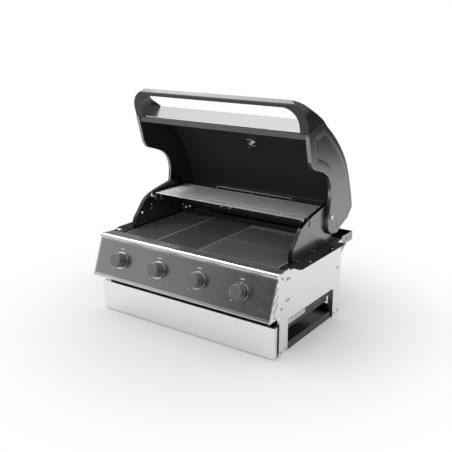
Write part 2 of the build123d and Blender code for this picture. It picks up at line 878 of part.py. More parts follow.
# Chrome rings around the knobs
with BuildPart() as knob_bezels:
    for x in knob_places:
        with BuildSketch(panel_plane(x, knob_height, 0)):
            Circle(bezel_radius)
            Circle(stem_hole_radius, mode=Mode.SUBTRACT)
        extrude(amount=bezel_floor)
        with BuildSketch(panel_plane(x, knob_height, bezel_floor)):
            Circle(bezel_radius)
            Circle(bezel_inner, mode=Mode.SUBTRACT)
        extrude(amount=bezel_height - bezel_floor, taper=lean)
knob_bezels.part.label = "knob_bezels"
export_step(knob_bezels.part, "parts/knob_bezels.step")

# Gas valves behind the panel, each with an inlet down to the manifold and a spud towards its burner
valve_face = inset_sheet + sheet
with BuildPart() as valve_bodies:
    for x in knob_places:
        with BuildSketch(panel_plane(x, knob_height, -valve_face)):
            Circle(valve_radius)
        extrude(amount=-valve_depth)
        valve_inlet_out = -manifold_start - (manifold_size - valve_inlet_width) / 2
        with BuildSketch(panel_plane(x, knob_height, valve_inlet_out)):
            rect(-valve_inlet_width / 2, -manifold_drop, valve_inlet_width / 2, 0)
        extrude(amount=-valve_inlet_width)
        with BuildSketch(upright(mouth_front + spud_reach)):
            spots(((x, burner_z),), spud_radius)
        extrude(amount=mouth_length + spud_reach)
        with BuildSketch(panel_plane(x, knob_height, -valve_face)):
            Circle(stem_radius + running_fit)
        extrude(amount=-stem_inside - knob_push - knob_clearance, mode=Mode.SUBTRACT)
valve_bodies.part.label = "valve_bodies"
export_step(valve_bodies.part, "parts/valve_bodies.step")

# Square gas manifold under the valves
with BuildPart() as gas_manifold:
    manifold_end = panel_plane(-manifold_half, 0, 0).origin
    with BuildSketch(Plane(origin=manifold_end, x_dir=(0, lean_sin, lean_cos), z_dir=(1, 0, 0))):
        rect(manifold_high - manifold_size, -manifold_start, manifold_high, -manifold_start - manifold_size)
        rect(
            manifold_high - manifold_size + manifold_wall, -manifold_start - manifold_wall,
            manifold_high - manifold_wall, manifold_wall - manifold_start - manifold_size, mode=Mode.SUBTRACT
        )
    extrude(amount=2 * manifold_half)
gas_manifold.part.label = "gas_manifold"
export_step(gas_manifold.part, "parts/gas_manifold.step")

# Gas inlet: a block on the left end of the manifold with a flare fitting, in line with a port in the cheek
with BuildPart() as gas_inlet:
    block_end = panel_plane(-manifold_half, 0, 0).origin
    with BuildSketch(Plane(origin=block_end, x_dir=(0, lean_sin, lean_cos), z_dir=(1, 0, 0))):
        rect(manifold_high - manifold_size, -manifold_start, manifold_high, -manifold_start - manifold_size)
    extrude(amount=-inlet_block)
    inlet_end = inlet_axis - Vector(manifold_half + inlet_block, 0, 0)
    with BuildSketch(Plane(origin=inlet_end, x_dir=(0, 1, 0), z_dir=(1, 0, 0))):
        Circle(inlet_radius)
    extrude(amount=-inlet_length)
    with BuildSketch(Plane(origin=inlet_end, x_dir=(0, 1, 0), z_dir=(1, 0, 0))):
        Circle(inlet_bore)
    extrude(amount=inlet_block, mode=Mode.SUBTRACT)
    with BuildSketch(Plane(origin=inlet_end, x_dir=(0, 1, 0), z_dir=(1, 0, 0))):
        Circle(inlet_bore)
    extrude(amount=-inlet_length, mode=Mode.SUBTRACT)
gas_inlet.part.label = "gas_inlet"
export_step(gas_inlet.part, "parts/gas_inlet.step")

# Tube burners: a mouth over the spud, a neck through the firebox wall, a ported tube and a rear pin
for number, x in enumerate(knob_places, start=1):
    with BuildPart() as burner:
        with BuildSketch(side_plane(x)):
            mouth_end = mouth_front + mouth_length
            neck_start = mouth_end + mouth_radius - neck_radius
            neck_end = burner_front - burner_radius
            wall = neck_radius - neck_bore
            tip = burner_back - burner_radius / 2
            with BuildLine():
                Polyline(
                    (mouth_front, burner_z + mouth_radius), (mouth_end, burner_z + mouth_radius),
                    (neck_start, burner_z + neck_radius), (neck_end, burner_z + neck_radius),
                    (burner_front, burner_z + burner_radius), (tip, burner_z + burner_radius),
                    (burner_back, burner_z + burner_radius / 2), (burner_back, burner_z + burner_pin_radius),
                    (box_back + box_wall, burner_z + burner_pin_radius), (box_back + box_wall, burner_z),
                    (burner_back - burner_wall, burner_z),
                    (burner_back - burner_wall, burner_z + burner_radius / 2 - burner_wall),
                    (tip - burner_wall, burner_z + burner_radius - burner_wall),
                    (burner_front, burner_z + burner_radius - burner_wall),
                    (neck_end, burner_z + neck_bore), (neck_start, burner_z + neck_bore),
                    (mouth_end, burner_z + mouth_radius - wall),
                    (mouth_front, burner_z + mouth_radius - wall),
                    close=True
                )
            make_face()
        revolve(axis=Axis((x, front, burner_z), (0, 1, 0)))
        with BuildSketch(side_plane(x - burner_radius)):
            span = tip - burner_front - burner_radius
            pitch = span / (port_count - 1)
            first = burner_front + burner_radius / 2
            spots([(first + index * pitch, burner_z + port_lift) for index in range(port_count)], port_radius)
        extrude(amount=2 * burner_radius, mode=Mode.SUBTRACT)
    burner.part.label = f"burner_{number}"
    export_step(burner.part, f"parts/burner_{number}.step")

# Flame tamers, folded tents over the burners that lie on the lower ledges
with BuildPart() as flame_tamers:
    for x in knob_places:
        with BuildSketch(upright(box_back - loose_fit)):
            with BuildLine():
                Polyline(
                    (x - tamer_half, tamer_ledge_z), (x - tamer_half + tamer_foot, tamer_ledge_z),
                    (x, tamer_ledge_z + tamer_rise), (x + tamer_half - tamer_foot, tamer_ledge_z),
                    (x + tamer_half, tamer_ledge_z)
                )
                offset(amount=sheet, side=Side.LEFT)
            make_face()
        extrude(amount=box_back - box_front - 2 * loose_fit)
flame_tamers.part.label = "flame_tamers"
export_step(flame_tamers.part, "parts/flame_tamers.step")

# Igniter electrodes beside the burners, set in the firebox wall
with BuildPart() as igniter_electrodes:
    for x in knob_places:
        with BuildSketch(upright(electrode_back)):
            spots(((x + electrode_offset, burner_z),), electrode_radius)
        extrude(amount=electrode_back - electrode_front)
        with BuildSketch(upright(electrode_tip)):
            spots(((x + electrode_offset, burner_z),), electrode_wire)
        extrude(amount=electrode_tip - electrode_back)
igniter_electrodes.part.label = "igniter_electrodes"
export_step(igniter_electrodes.part, "parts/igniter_electrodes.step")

for number, x in enumerate(knob_places, start=1):
    # Valve stem: it is pushed in against the valve's spring
    with BuildPart() as valve_stem:
        with BuildSketch(panel_plane(x, knob_height, -valve_face - stem_inside)):
            Circle(stem_radius)
        extrude(amount=valve_face + stem_inside + stem_reach)
    valve_stem.part.label = f"valve_stem_{number}"
    export_step(valve_stem.part, f"parts/valve_stem_{number}.step")

    # Knob: a hollow turned cap with a hub on the stem and a pointer dimple in its face
    with BuildPart() as knob:
        knob_axis_plane = Plane(
            origin=panel_plane(x, knob_height, 0).origin, x_dir=(1, 0, 0), z_dir=(0, -lean_sin, -lean_cos)
        )
        bore = stem_radius + running_fit
        with BuildSketch(knob_axis_plane):
            with BuildLine():
                Polyline(
                    (bore, knob_base), (knob_hub_radius, knob_base), (knob_hub_radius, knob_face - knob_roof),
                    (knob_hollow_radius, knob_face - knob_roof), (knob_hollow_radius, knob_base),
                    (knob_radius, knob_base), (knob_face_radius, knob_face), (0, knob_face),
                    (0, stem_reach + loose_fit), (bore, stem_reach + loose_fit), close=True
                )
            make_face()
        revolve(axis=Axis(panel_plane(x, knob_height, 0).origin, (0, -lean_cos, lean_sin)))
        outward = Axis((0, 0, 0), (0, -lean_cos, lean_sin))
        face_edge = knob.edges().filter_by(GeomType.CIRCLE).sort_by(outward)[-1]
        fillet(face_edge, radius=knob_edge)
        with BuildSketch(panel_plane(x, knob_height, knob_face)):
            with PolarLocations(knob_pointer_reach, 1, start_angle=knob_pointer_angle):
                Circle(knob_pointer_radius)
        extrude(amount=-knob_pointer_depth, mode=Mode.SUBTRACT)
    knob.part.label = f"knob_{number}"
    export_step(knob.part, f"parts/knob_{number}.step")

# Grates: cast bars from front to back with lower cross ribs and a finger notch at the back
grate_spans = (
    ("left", split_gap - cook_half, grate_split - split_gap / 2),
    ("middle", grate_split + split_gap / 2, plate_split - split_gap)
)
for place, low, high in grate_spans:
    with BuildPart() as grate:
        with BuildSketch(level(grate_bottom)):
            rect(low, grate_front, high, grate_back)
        extrude(amount=grate_height)
        inside = high - low - 2 * edge_bar
        slot_count = round((inside + bar_width) / bar_pitch)
        slot_pitch = (inside + bar_width) / slot_count
        slot_width = slot_pitch - bar_width
        starts = [grate_front + front_bar] + [depth + rib_width / 2 for depth in rib_depths]
        ends = [depth - rib_width / 2 for depth in rib_depths] + [grate_back + overrun]
        with BuildSketch(level(grate_bottom)):
            for start, end in zip(starts, ends):
                with Locations(((low + high) / 2, (start + end) / 2)):
                    with GridLocations(slot_pitch, 0, slot_count, 1):
                        Rectangle(slot_width, end - start)
        extrude(amount=grate_height, mode=Mode.SUBTRACT)
        with BuildSketch(level(grate_top)):
            for depth in rib_depths:
                with Locations(((low + high) / 2, depth)):
                    with GridLocations(slot_pitch, 0, slot_count, 1):
                        Rectangle(slot_width, rib_width)
        extrude(amount=-rib_drop, mode=Mode.SUBTRACT)
        with BuildSketch(level(grate_bottom)):
            rect(
                (low + high - notch_width) / 2, grate_back - notch_depth,
                (low + high + notch_width) / 2, grate_back + overrun
            )
        extrude(amount=grate_height, mode=Mode.SUBTRACT)
    grate.part.label = f"grate_{place}"
    export_step(grate.part, f"parts/grate_{place}.step")

# Hotplate: a ribbed plate with drain slots and a low lip at the back
hot_low = plate_split + split_gap
hot_high = cook_half
with BuildPart() as hotplate:
    with BuildSketch(level(grate_bottom)):
        rect(hot_low, grate_front, hot_high, grate_back)
    extrude(amount=grate_height)
    with BuildSketch(level(grate_bottom)):
        rect(hot_low + edge_bar, grate_front + front_bar, hot_high - edge_bar, grate_back - front_bar)
    extrude(amount=grate_height - hot_plate_thickness, mode=Mode.SUBTRACT)
    groove_span = hot_high - hot_low - 2 * edge_bar
    groove_count = round(groove_span / hot_pitch)
    groove_pitch = groove_span / groove_count
    groove_rows = (
        (grate_front + hot_border, hot_cross - hot_cross_width / 2),
        (hot_cross + hot_cross_width / 2, hot_slot_depth - hot_slot_width)
    )
    with BuildSketch(level(grate_top)):
        for start, end in groove_rows:
            with Locations(((hot_low + hot_high) / 2, (start + end) / 2)):
                with GridLocations(groove_pitch, 0, groove_count, 1):
                    Rectangle(hot_groove, end - start)
    extrude(amount=-hot_groove_depth, mode=Mode.SUBTRACT)
    slot_span = hot_high - hot_low - 2 * edge_bar
    slot_total = round(slot_span / (hot_slot_length + 3 * hot_slot_width))
    with BuildSketch(level(grate_bottom)):
        with Locations(((hot_low + hot_high) / 2, hot_slot_depth)):
            with GridLocations(slot_span / slot_total, 0, slot_total, 1):
                SlotOverall(hot_slot_length, hot_slot_width)
    extrude(amount=grate_height, mode=Mode.SUBTRACT)
    with BuildSketch(level(grate_top)):
        rect(hot_low, hot_lip_front, hot_high, hot_lip_back)
    extrude(amount=hot_lip_height)
hotplate.part.label = "hotplate"
export_step(hotplate.part, "parts/hotplate.step")

# Warming rack: wires across, rods below them, a raised rail at the back and hangers at both ends
rack_count = round((rack_back - rack_front) / rack_pitch)
rod_z = rack_z - rack_wire
with BuildPart() as warming_rack:
    with BuildSketch(side_plane(-rack_half)):
        wire_pitch = (rack_back - rack_front) / rack_count
        spots([(rack_front + index * wire_pitch, rack_z) for index in range(1, rack_count)], rack_wire)
        spots(((rack_front, rack_z), (rack_back, rack_z)), rack_rod)
    extrude(amount=2 * rack_half)
    with BuildSketch(upright(rack_back)):
        spots([(x, rod_z - rack_wire) for x in (-rack_end, *rack_supports, rack_end)], rack_rod)
    extrude(amount=rack_back - rack_front)
    with BuildSketch(upright(rack_front)):
        spots([(x, rod_z - rack_wire) for x in rack_supports[1:3]], rack_rod)
    extrude(amount=rack_front - rack_support_front)
    with BuildSketch(side_plane(-rack_end - 2 * rack_rod)):
        spots(((rack_rod_middle, rod_z - rack_wire - 2 * rack_rod + rack_weld),), rack_rod)
    extrude(amount=2 * (rack_end + 2 * rack_rod))
    rail_depth = rack_back - wire_pitch
    with BuildLine(upright(rail_depth)) as rail_path:
        FilletPolyline(
            (rail_left, rack_z), (rail_left, rack_z + rail_height),
            (rail_right, rack_z + rail_height), (rail_right, rack_z), radius=rail_bend
        )
    with BuildSketch(Plane(origin=rail_path.line @ 0, z_dir=rail_path.line % 0)):
        Circle(rack_rod)
    sweep(path=rail_path.line)
    with BuildSketch(level(rack_z)):
        spots(((rail_post, rail_depth),), rack_wire)
    extrude(amount=rail_height)
    for side, hand in sides:
        with BuildSketch(side_plane(hand * (hanger_x - hanger_rod))):
            with BuildLine():
                Polyline(
                    (hanger_front, rack_z), (hanger_front, hanger_front_z),
                    (hanger_back, hanger_back_z), (hanger_back, rack_z), close=True
                )
            trace(line_width=2 * hanger_rod)
        extrude(amount=2 * hand * hanger_rod)
        with BuildSketch(side_plane(hand * hanger_x)):
            spots(((hanger_front, hanger_notch_z),), rack_rod)
        extrude(amount=hand * (hanger_reach - hanger_x))
warming_rack.part.label = "warming_rack"
export_step(warming_rack.part, "parts/warming_rack.step")

# Pins on the wings that carry the hangers of the rack
with BuildPart() as shelf_pins:
    for side, hand in sides:
        with BuildSketch(side_plane(hand * wing_half)):
            spots(((hanger_back, shelf_pin_z),), shelf_pin_radius)
        extrude(amount=hand * (shelf_pin_reach - wing_half))
shelf_pins.part.label = "shelf_pins"
export_step(shelf_pins.part, "parts/shelf_pins.step")

# Drawer front: a folded pan, open at the back
with BuildPart() as drawer_front:
    with BuildSketch(upright(drawer_rear)) as drawer_face_sketch:
        rect(-drawer_half, drawer_bottom, drawer_half, drawer_top)
        fillet(drawer_face_sketch.vertices(), radius=drawer_radius)
    extrude(amount=drawer_rear - drawer_face)
    with BuildSketch(upright(drawer_rear)):
        rect(sheet - drawer_half, drawer_bottom + sheet, drawer_half - sheet, drawer_top - sheet)
    extrude(amount=drawer_rear - drawer_face - sheet, mode=Mode.SUBTRACT)
drawer_front.part.label = "drawer_front"
export_step(drawer_front.part, "parts/drawer_front.step")

# Drip tray behind it, with side rails that slide in the runners
tray_top = runner_high - sheet - loose_fit
rail_low = runner_low + sheet + loose_fit
rail_x = runner_x - sheet - loose_fit
with BuildPart() as drip_tray:
    with BuildSketch(level(tray_bottom)):
        rect(-tray_half, drawer_face + sheet, tray_half, tray_back)
    extrude(amount=tray_top - tray_bottom)
    with BuildSketch(level(tray_bottom + tray_sheet)):
        tray_front = drawer_face + sheet + tray_sheet
        rect(tray_sheet - tray_half, tray_front, tray_half - tray_sheet, tray_back - tray_sheet)
    extrude(amount=tray_top - tray_bottom, mode=Mode.SUBTRACT)
    for side, hand in sides:
        with BuildSketch(level(rail_low)):
            rect(hand * tray_half, drawer_rear, hand * rail_x, tray_back)
        extrude(amount=sheet)
        with BuildSketch(level(rail_low)):
            rect(hand * (rail_x - sheet), drawer_rear, hand * rail_x, tray_back)
        extrude(amount=tray_top - rail_low)
drip_tray.part.label = "drip_tray"
export_step(drip_tray.part, "parts/drip_tray.step")

# Runners inside the front legs
with BuildPart() as drawer_runners:
    for side, hand in sides:
        with BuildSketch(upright(runner_back)):
            rect(hand * runner_inner, runner_low, hand * runner_x, runner_high)
            rect(
                hand * (runner_inner - sheet), runner_low + sheet,
                hand * (runner_x - sheet), runner_high - sheet, mode=Mode.SUBTRACT
            )
        extrude(amount=runner_back - runner_front)
        with BuildSketch(level((runner_low + runner_high - runner_foot_height) / 2)):
            rect(hand * runner_x, runner_front, hand * (leg_half - leg_sheet), runner_foot_back)
        extrude(amount=runner_foot_height)
drawer_runners.part.label = "drawer_runners"
export_step(drawer_runners.part, "parts/drawer_runners.step")

# Hood skin under the rims of the caps, and the liner inside it
hood_curve = Spline(*hood_contour)
gauge_point = hood_curve @ gauge_share
gauge_tangent = hood_curve % gauge_share


def gauge_plane(out):
    """Plane of the thermometer on the hood's skin, out from the skin along its normal."""
    base = hood_plane(0)
    normal = base.x_dir * -gauge_tangent.Y + base.y_dir * gauge_tangent.X
    place = base.origin + base.x_dir * gauge_point.X + base.y_dir * gauge_point.Y
    return Plane(origin=place + normal * (out - skin_recess), x_dir=(1, 0, 0), z_dir=normal)


with BuildPart() as hood_skin:
    with BuildSketch(hood_plane(-cap_inner)):
        with BuildLine():
            shell_outline(skin_recess, skin_recess + hood_skin_sheet)
        make_face()
    extrude(amount=2 * cap_inner)
    with BuildSketch(gauge_plane(gauge_lift)):
        Circle(gauge_stem_radius + loose_fit)
    extrude(amount=-liner_depth, mode=Mode.SUBTRACT)
hood_skin.part.label = "hood_skin"
export_step(hood_skin.part, "parts/hood_skin.step")

with BuildPart() as hood_liner:
    with BuildSketch(hood_plane(cap_sheet - cap_half)):
        with BuildLine():
            shell_outline(liner_depth, liner_depth + liner_sheet)
        make_face()
    extrude(amount=2 * (cap_half - cap_sheet))
    with BuildSketch(gauge_plane(gauge_lift)):
        Circle(gauge_stem_radius + loose_fit)
    extrude(amount=-2 * liner_depth, mode=Mode.SUBTRACT)
hood_liner.part.label = "hood_liner"
export_step(hood_liner.part, "parts/hood_liner.step")


for side, hand in sides:
    # End cap: a cast shell, open towards the wing, with a boss on the hinge bolt
    with BuildPart() as hood_cap:
        with BuildSketch(hood_plane(hand * cap_inner)):
            with BuildLine():
                cap_outline(0)
            make_face()
        extrude(amount=hand * (cap_half - cap_inner))
        with BuildSketch(hood_plane(hand * cap_inner)):
            with BuildLine():
                cap_outline(cap_rim)
            make_face()
        extrude(amount=hand * (cap_half - cap_inner - cap_sheet), mode=Mode.SUBTRACT)
        with BuildSketch(hood_plane(hand * cap_inner)):
            Circle(boss_radius)
        extrude(amount=hand * (cap_half - cap_inner))
        with BuildSketch(hood_plane(hand * cap_inner)):
            Circle(bolt_radius + running_fit)
        extrude(amount=hand * (cap_half - cap_inner), mode=Mode.SUBTRACT)
    hood_cap.part.label = f"hood_cap_{side}"
    export_step(hood_cap.part, f"parts/hood_cap_{side}.step")

# Polished front face between the arms of the handle: a shallow pan on the skin
with BuildPart() as hood_front_panel:
    with BuildSketch(hood_plane(-arm_inner)):
        rect(-hood_front - front_face_proud, -front_face_low, skin_recess - hood_front, front_face_high)
    extrude(amount=2 * arm_inner)
    with BuildSketch(hood_plane(front_face_sheet - arm_inner)):
        rect(
            front_face_sheet - hood_front - front_face_proud, front_face_sheet - front_face_low,
            skin_recess - hood_front, front_face_high - front_face_sheet
        )
    extrude(amount=2 * (arm_inner - front_face_sheet), mode=Mode.SUBTRACT)
hood_front_panel.part.label = "hood_front_panel"
export_step(hood_front_panel.part, "parts/hood_front_panel.step")

# Band that closes the lower edge of the hood's front
with BuildPart() as hood_band:
    with BuildSketch(hood_plane(-cap_inner)):
        with BuildLine():
            Polyline(
                (-hood_front, -band_front), (band_width - hood_front, -band_rear),
                (band_width - hood_front, -band_rear - band_sheet), (-hood_front, -band_front - band_sheet),
                close=True
            )
        make_face()
    extrude(amount=2 * cap_inner)
hood_band.part.label = "hood_band"
export_step(hood_band.part, "parts/hood_band.step")

# Handle: two wedge arms and a bar in one casting, rounded at its corners in plan
handle_outline = scaled(handle_shares, hood_front, hood_rise)
with BuildPart() as hood_handle:
    with BuildSketch(hood_plane(-cap_half)):
        with BuildLine():
            Spline(*handle_outline[:4])
            Polyline(*handle_outline[3:], (-hood_front, -handle_foot), handle_outline[0])
        make_face()
    extrude(amount=2 * cap_half)
    with BuildSketch(hood_level(-overrun * 2)) as handle_plan:
        rect(-cap_half, -hood_front - handle_outer, cap_half, -hood_front)
        front_corners = handle_plan.vertices().sort_by(Axis((0, 0, 0), (0, swing_cos, -swing_sin)))[:2]
        fillet(front_corners, radius=handle_corner)
    extrude(amount=4 * overrun, mode=Mode.INTERSECT)
    with BuildSketch(hood_level(-overrun * 2)) as handle_gap:
        rect(-arm_inner, -hood_front - handle_inner, arm_inner, -hood_front)
        inside_corners = handle_gap.vertices().sort_by(Axis((0, 0, 0), (0, swing_cos, -swing_sin)))[:2]
        fillet(inside_corners, radius=handle_inside_corner)
    extrude(amount=4 * overrun, mode=Mode.SUBTRACT)
hood_handle.part.label = "hood_handle"
export_step(hood_handle.part, "parts/hood_handle.step")

# Thermometer on the hood: a cup with its stem, a dial with a needle, a lens and a nut inside
with BuildPart() as thermometer_case:
    with BuildSketch(gauge_plane(gauge_lift)):
        Circle(gauge_radius)
    extrude(amount=gauge_height)
    with BuildSketch(gauge_plane(gauge_lift + gauge_floor)):
        Circle(gauge_radius - gauge_wall - lens_seat)
    extrude(amount=gauge_height, mode=Mode.SUBTRACT)
    with BuildSketch(gauge_plane(gauge_lift + gauge_height - lens_sheet)):
        Circle(gauge_radius - gauge_wall)
    extrude(amount=lens_sheet, mode=Mode.SUBTRACT)
    with BuildSketch(gauge_plane(gauge_lift)):
        Circle(gauge_stem_radius)
    extrude(amount=-gauge_stem_reach)
thermometer_case.part.label = "thermometer_case"
export_step(thermometer_case.part, "parts/thermometer_case.step")

with BuildPart() as thermometer_dial:
    with BuildSketch(gauge_plane(gauge_lift + gauge_floor)):
        Circle(gauge_radius - gauge_wall - lens_seat - screw_fit)
    extrude(amount=gauge_dial)
    with BuildSketch(gauge_plane(gauge_lift + gauge_floor + gauge_dial)):
        rect(-needle_width / 2, -needle_width * 2, needle_width / 2, gauge_radius * 2 / 3)
    extrude(amount=needle_height)
thermometer_dial.part.label = "thermometer_dial"
export_step(thermometer_dial.part, "parts/thermometer_dial.step")

with BuildPart() as thermometer_lens:
    with BuildSketch(gauge_plane(gauge_lift + gauge_height - lens_sheet)):
        Circle(gauge_radius - gauge_wall - screw_fit)
    extrude(amount=lens_sheet)
thermometer_lens.part.label = "thermometer_lens"
export_step(thermometer_lens.part, "parts/thermometer_lens.step")

with BuildPart() as thermometer_nut:
    flange_place = skin_recess - liner_depth - liner_sheet - gauge_flange_gap
    with BuildSketch(gauge_plane(flange_place)):
        Circle(gauge_flange_radius)
    extrude(amount=-gauge_flange_sheet)
    with BuildSketch(gauge_plane(flange_place - gauge_flange_sheet)):
        RegularPolygon(gauge_nut_radius, 6)
    extrude(amount=-gauge_nut_height)
    with BuildSketch(gauge_plane(flange_place)):
        Circle(gauge_stem_radius + screw_fit)
    extrude(amount=-gauge_flange_sheet - gauge_nut_height, mode=Mode.SUBTRACT)
thermometer_nut.part.label = "thermometer_nut"
export_step(thermometer_nut.part, "parts/thermometer_nut.step")

# Hinge bolts: head outside the cap, collar between cap and wing, nut inside the wing
with BuildPart() as hinge_bolts:
    for side, hand in sides:
        with BuildSketch(side_plane(hand * (cap_half + loose_fit))):
            with Locations((hinge_depth, hinge_z)):
                RegularPolygon(bolt_head_radius, 6)
        extrude(amount=hand * bolt_head_height)
        with BuildSketch(side_plane(hand * (cap_half + loose_fit))):
            spots(((hinge_depth, hinge_z),), bolt_radius)
        extrude(amount=hand * (bolt_inside - cap_half - loose_fit))
        with BuildSketch(side_plane(hand * wing_half)):
            spots(((hinge_depth, hinge_z),), bolt_collar_radius)
        extrude(amount=hand * (cap_inner - wing_half - loose_fit))
        with BuildSketch(side_plane(hand * wing_x)):
            with Locations((hinge_depth, hinge_z)):
                RegularPolygon(bolt_head_radius, 6)
        extrude(amount=-hand * bolt_nut_height)
hinge_bolts.part.label = "hinge_bolts"
export_step(hinge_bolts.part, "parts/hinge_bolts.step")


def crosses(points):
    """Crosses for the recesses of screw heads at the given points, in the sketch that is open."""
    with Locations(*points):
        Rectangle(screw_recess_length, screw_recess_width)
        Rectangle(screw_recess_width, screw_recess_length)


# Pan-head screws of the sides and of the wings' feet
strip_face = half + leg_sheet - strip_step
cheek_face = frame_half + cheek_sheet
screw_groups = (
    (strip_face, strip_screws), (leg_half, leg_screws), (half, rear_leg_screws), (cheek_face, cheek_screws)
)
with BuildPart() as panel_screws:
    for side, hand in sides:
        for face, points in screw_groups:
            with BuildSketch(side_plane(hand * face)):
                spots(points, screw_head_radius)
            extrude(amount=hand * screw_head_height)
            with BuildSketch(side_plane(hand * face)):
                spots(points, screw_radius)
            extrude(amount=-hand * screw_length)
            with BuildSketch(side_plane(hand * (face + screw_head_height))):
                crosses(points)
            extrude(amount=-hand * screw_recess, mode=Mode.SUBTRACT)
        foot_top = counter_z + wing_sheet
        foot_points = wing_foot_points[hand]
        with BuildSketch(level(foot_top)):
            spots(foot_points, screw_head_radius)
        extrude(amount=screw_head_height)
        with BuildSketch(level(foot_top)):
            spots(foot_points, screw_radius)
        extrude(amount=-screw_length)
        with BuildSketch(level(foot_top + screw_head_height)):
            crosses(foot_points)
        extrude(amount=-screw_recess, mode=Mode.SUBTRACT)
panel_screws.part.label = "panel_screws"
export_step(panel_screws.part, "parts/panel_screws.step")
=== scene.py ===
import math

import bmesh
import bpy
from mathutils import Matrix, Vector


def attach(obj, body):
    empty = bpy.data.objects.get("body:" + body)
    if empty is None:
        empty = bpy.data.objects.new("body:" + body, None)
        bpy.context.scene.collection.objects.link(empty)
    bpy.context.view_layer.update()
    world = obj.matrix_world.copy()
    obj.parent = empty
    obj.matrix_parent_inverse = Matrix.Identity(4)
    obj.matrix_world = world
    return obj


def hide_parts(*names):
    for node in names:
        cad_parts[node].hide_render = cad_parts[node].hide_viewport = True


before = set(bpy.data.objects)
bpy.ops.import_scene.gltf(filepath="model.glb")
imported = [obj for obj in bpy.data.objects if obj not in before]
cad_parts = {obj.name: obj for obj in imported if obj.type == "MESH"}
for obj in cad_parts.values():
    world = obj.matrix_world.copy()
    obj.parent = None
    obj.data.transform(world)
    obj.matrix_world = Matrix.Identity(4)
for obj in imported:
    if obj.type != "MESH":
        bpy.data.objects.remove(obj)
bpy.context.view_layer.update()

# Everything is in metres, in the frame of the CAD model: X across, Y to the back, Z up.
mm = 0.001
front = -215.5 * mm                 # front edge of the legs
pivot = Vector((0.0, 0.1396, 0.385))
open_angle = math.radians(74.0)
hood_front = 348.0 * mm             # from the pivot to the front of the closed hood
cap_outer = 360.0 * mm
cap_inner = 347.0 * mm
lean = math.radians(20.2)
panel_low = Vector((0.0, front - 68.6 * mm, 158.6 * mm))
panel_normal = Vector((0.0, -math.cos(lean), math.sin(lean)))
knob_places = (-261.5 * mm, -90.5 * mm, 80.5 * mm, 251.5 * mm)
knob_height = 63.0 * mm


# Camera, solved from the straight edges of the photograph
def add_camera():
    data = bpy.data.cameras.new("camera")
    camera = bpy.data.objects.new("camera", data)
    bpy.context.scene.collection.objects.link(camera)
    azimuth, elevation = math.radians(34.883), math.radians(17.087)
    back = Vector((
        math.sin(azimuth) * math.cos(elevation),
        -math.cos(azimuth) * math.cos(elevation),
        math.sin(elevation),
    ))
    camera.location = (1.38701, -1.96971, 1.06628)
    camera.rotation_mode = "QUATERNION"
    camera.rotation_quaternion = (-back).to_track_quat("-Z", "Y")
    data.sensor_width = 36.0
    data.lens = 55.509
    data.clip_start = 0.05
    data.clip_end = 60.0
    bpy.context.scene.camera = camera


# Materials
def node_of(tree, kind, **values):
    """A new shader node with the given inputs."""
    node = tree.nodes.new(kind)
    for name, value in values.items():
        node.inputs[name.replace("_", " ")].default_value = value
    return node


def operate(tree, kind, operation, values):
    """A maths node; its values are sockets, numbers or vectors."""
    node = tree.nodes.new(kind)
    node.operation = operation
    for place, value in zip(node.inputs, values):
        if isinstance(value, bpy.types.NodeSocket):
            tree.links.new(value, place)
        else:
            place.default_value = value
    return node


def maths(tree, operation, *values):
    return operate(tree, "ShaderNodeMath", operation, values).outputs["Value"]


def vector_maths(tree, operation, *values):
    return operate(tree, "ShaderNodeVectorMath", operation, values).outputs


def map_range(tree, value, start, end, low=0.0, high=1.0, smooth=False):
    node = node_of(tree, "ShaderNodeMapRange", From_Min=start, From_Max=end, To_Min=low, To_Max=high)
    if smooth:
        node.interpolation_type = "SMOOTHSTEP"
    tree.links.new(value, node.inputs["Value"])
    return node.outputs["Result"]


def mix_shaders(tree, share, first, second):
    """The first shader where the share is 0, the second where it is 1."""
    node = tree.nodes.new("ShaderNodeMixShader")
    for place, value in zip(node.inputs, (share, first, second)):
        tree.links.new(value, place)
    return node.outputs["Shader"]


def seen_directly(tree, ray):
    """1 for what the camera sees, also through glass, and 0 for the light on other surfaces."""
    return maths(tree, "MAXIMUM", ray.outputs["Is Camera Ray"], ray.outputs["Is Transmission Ray"])


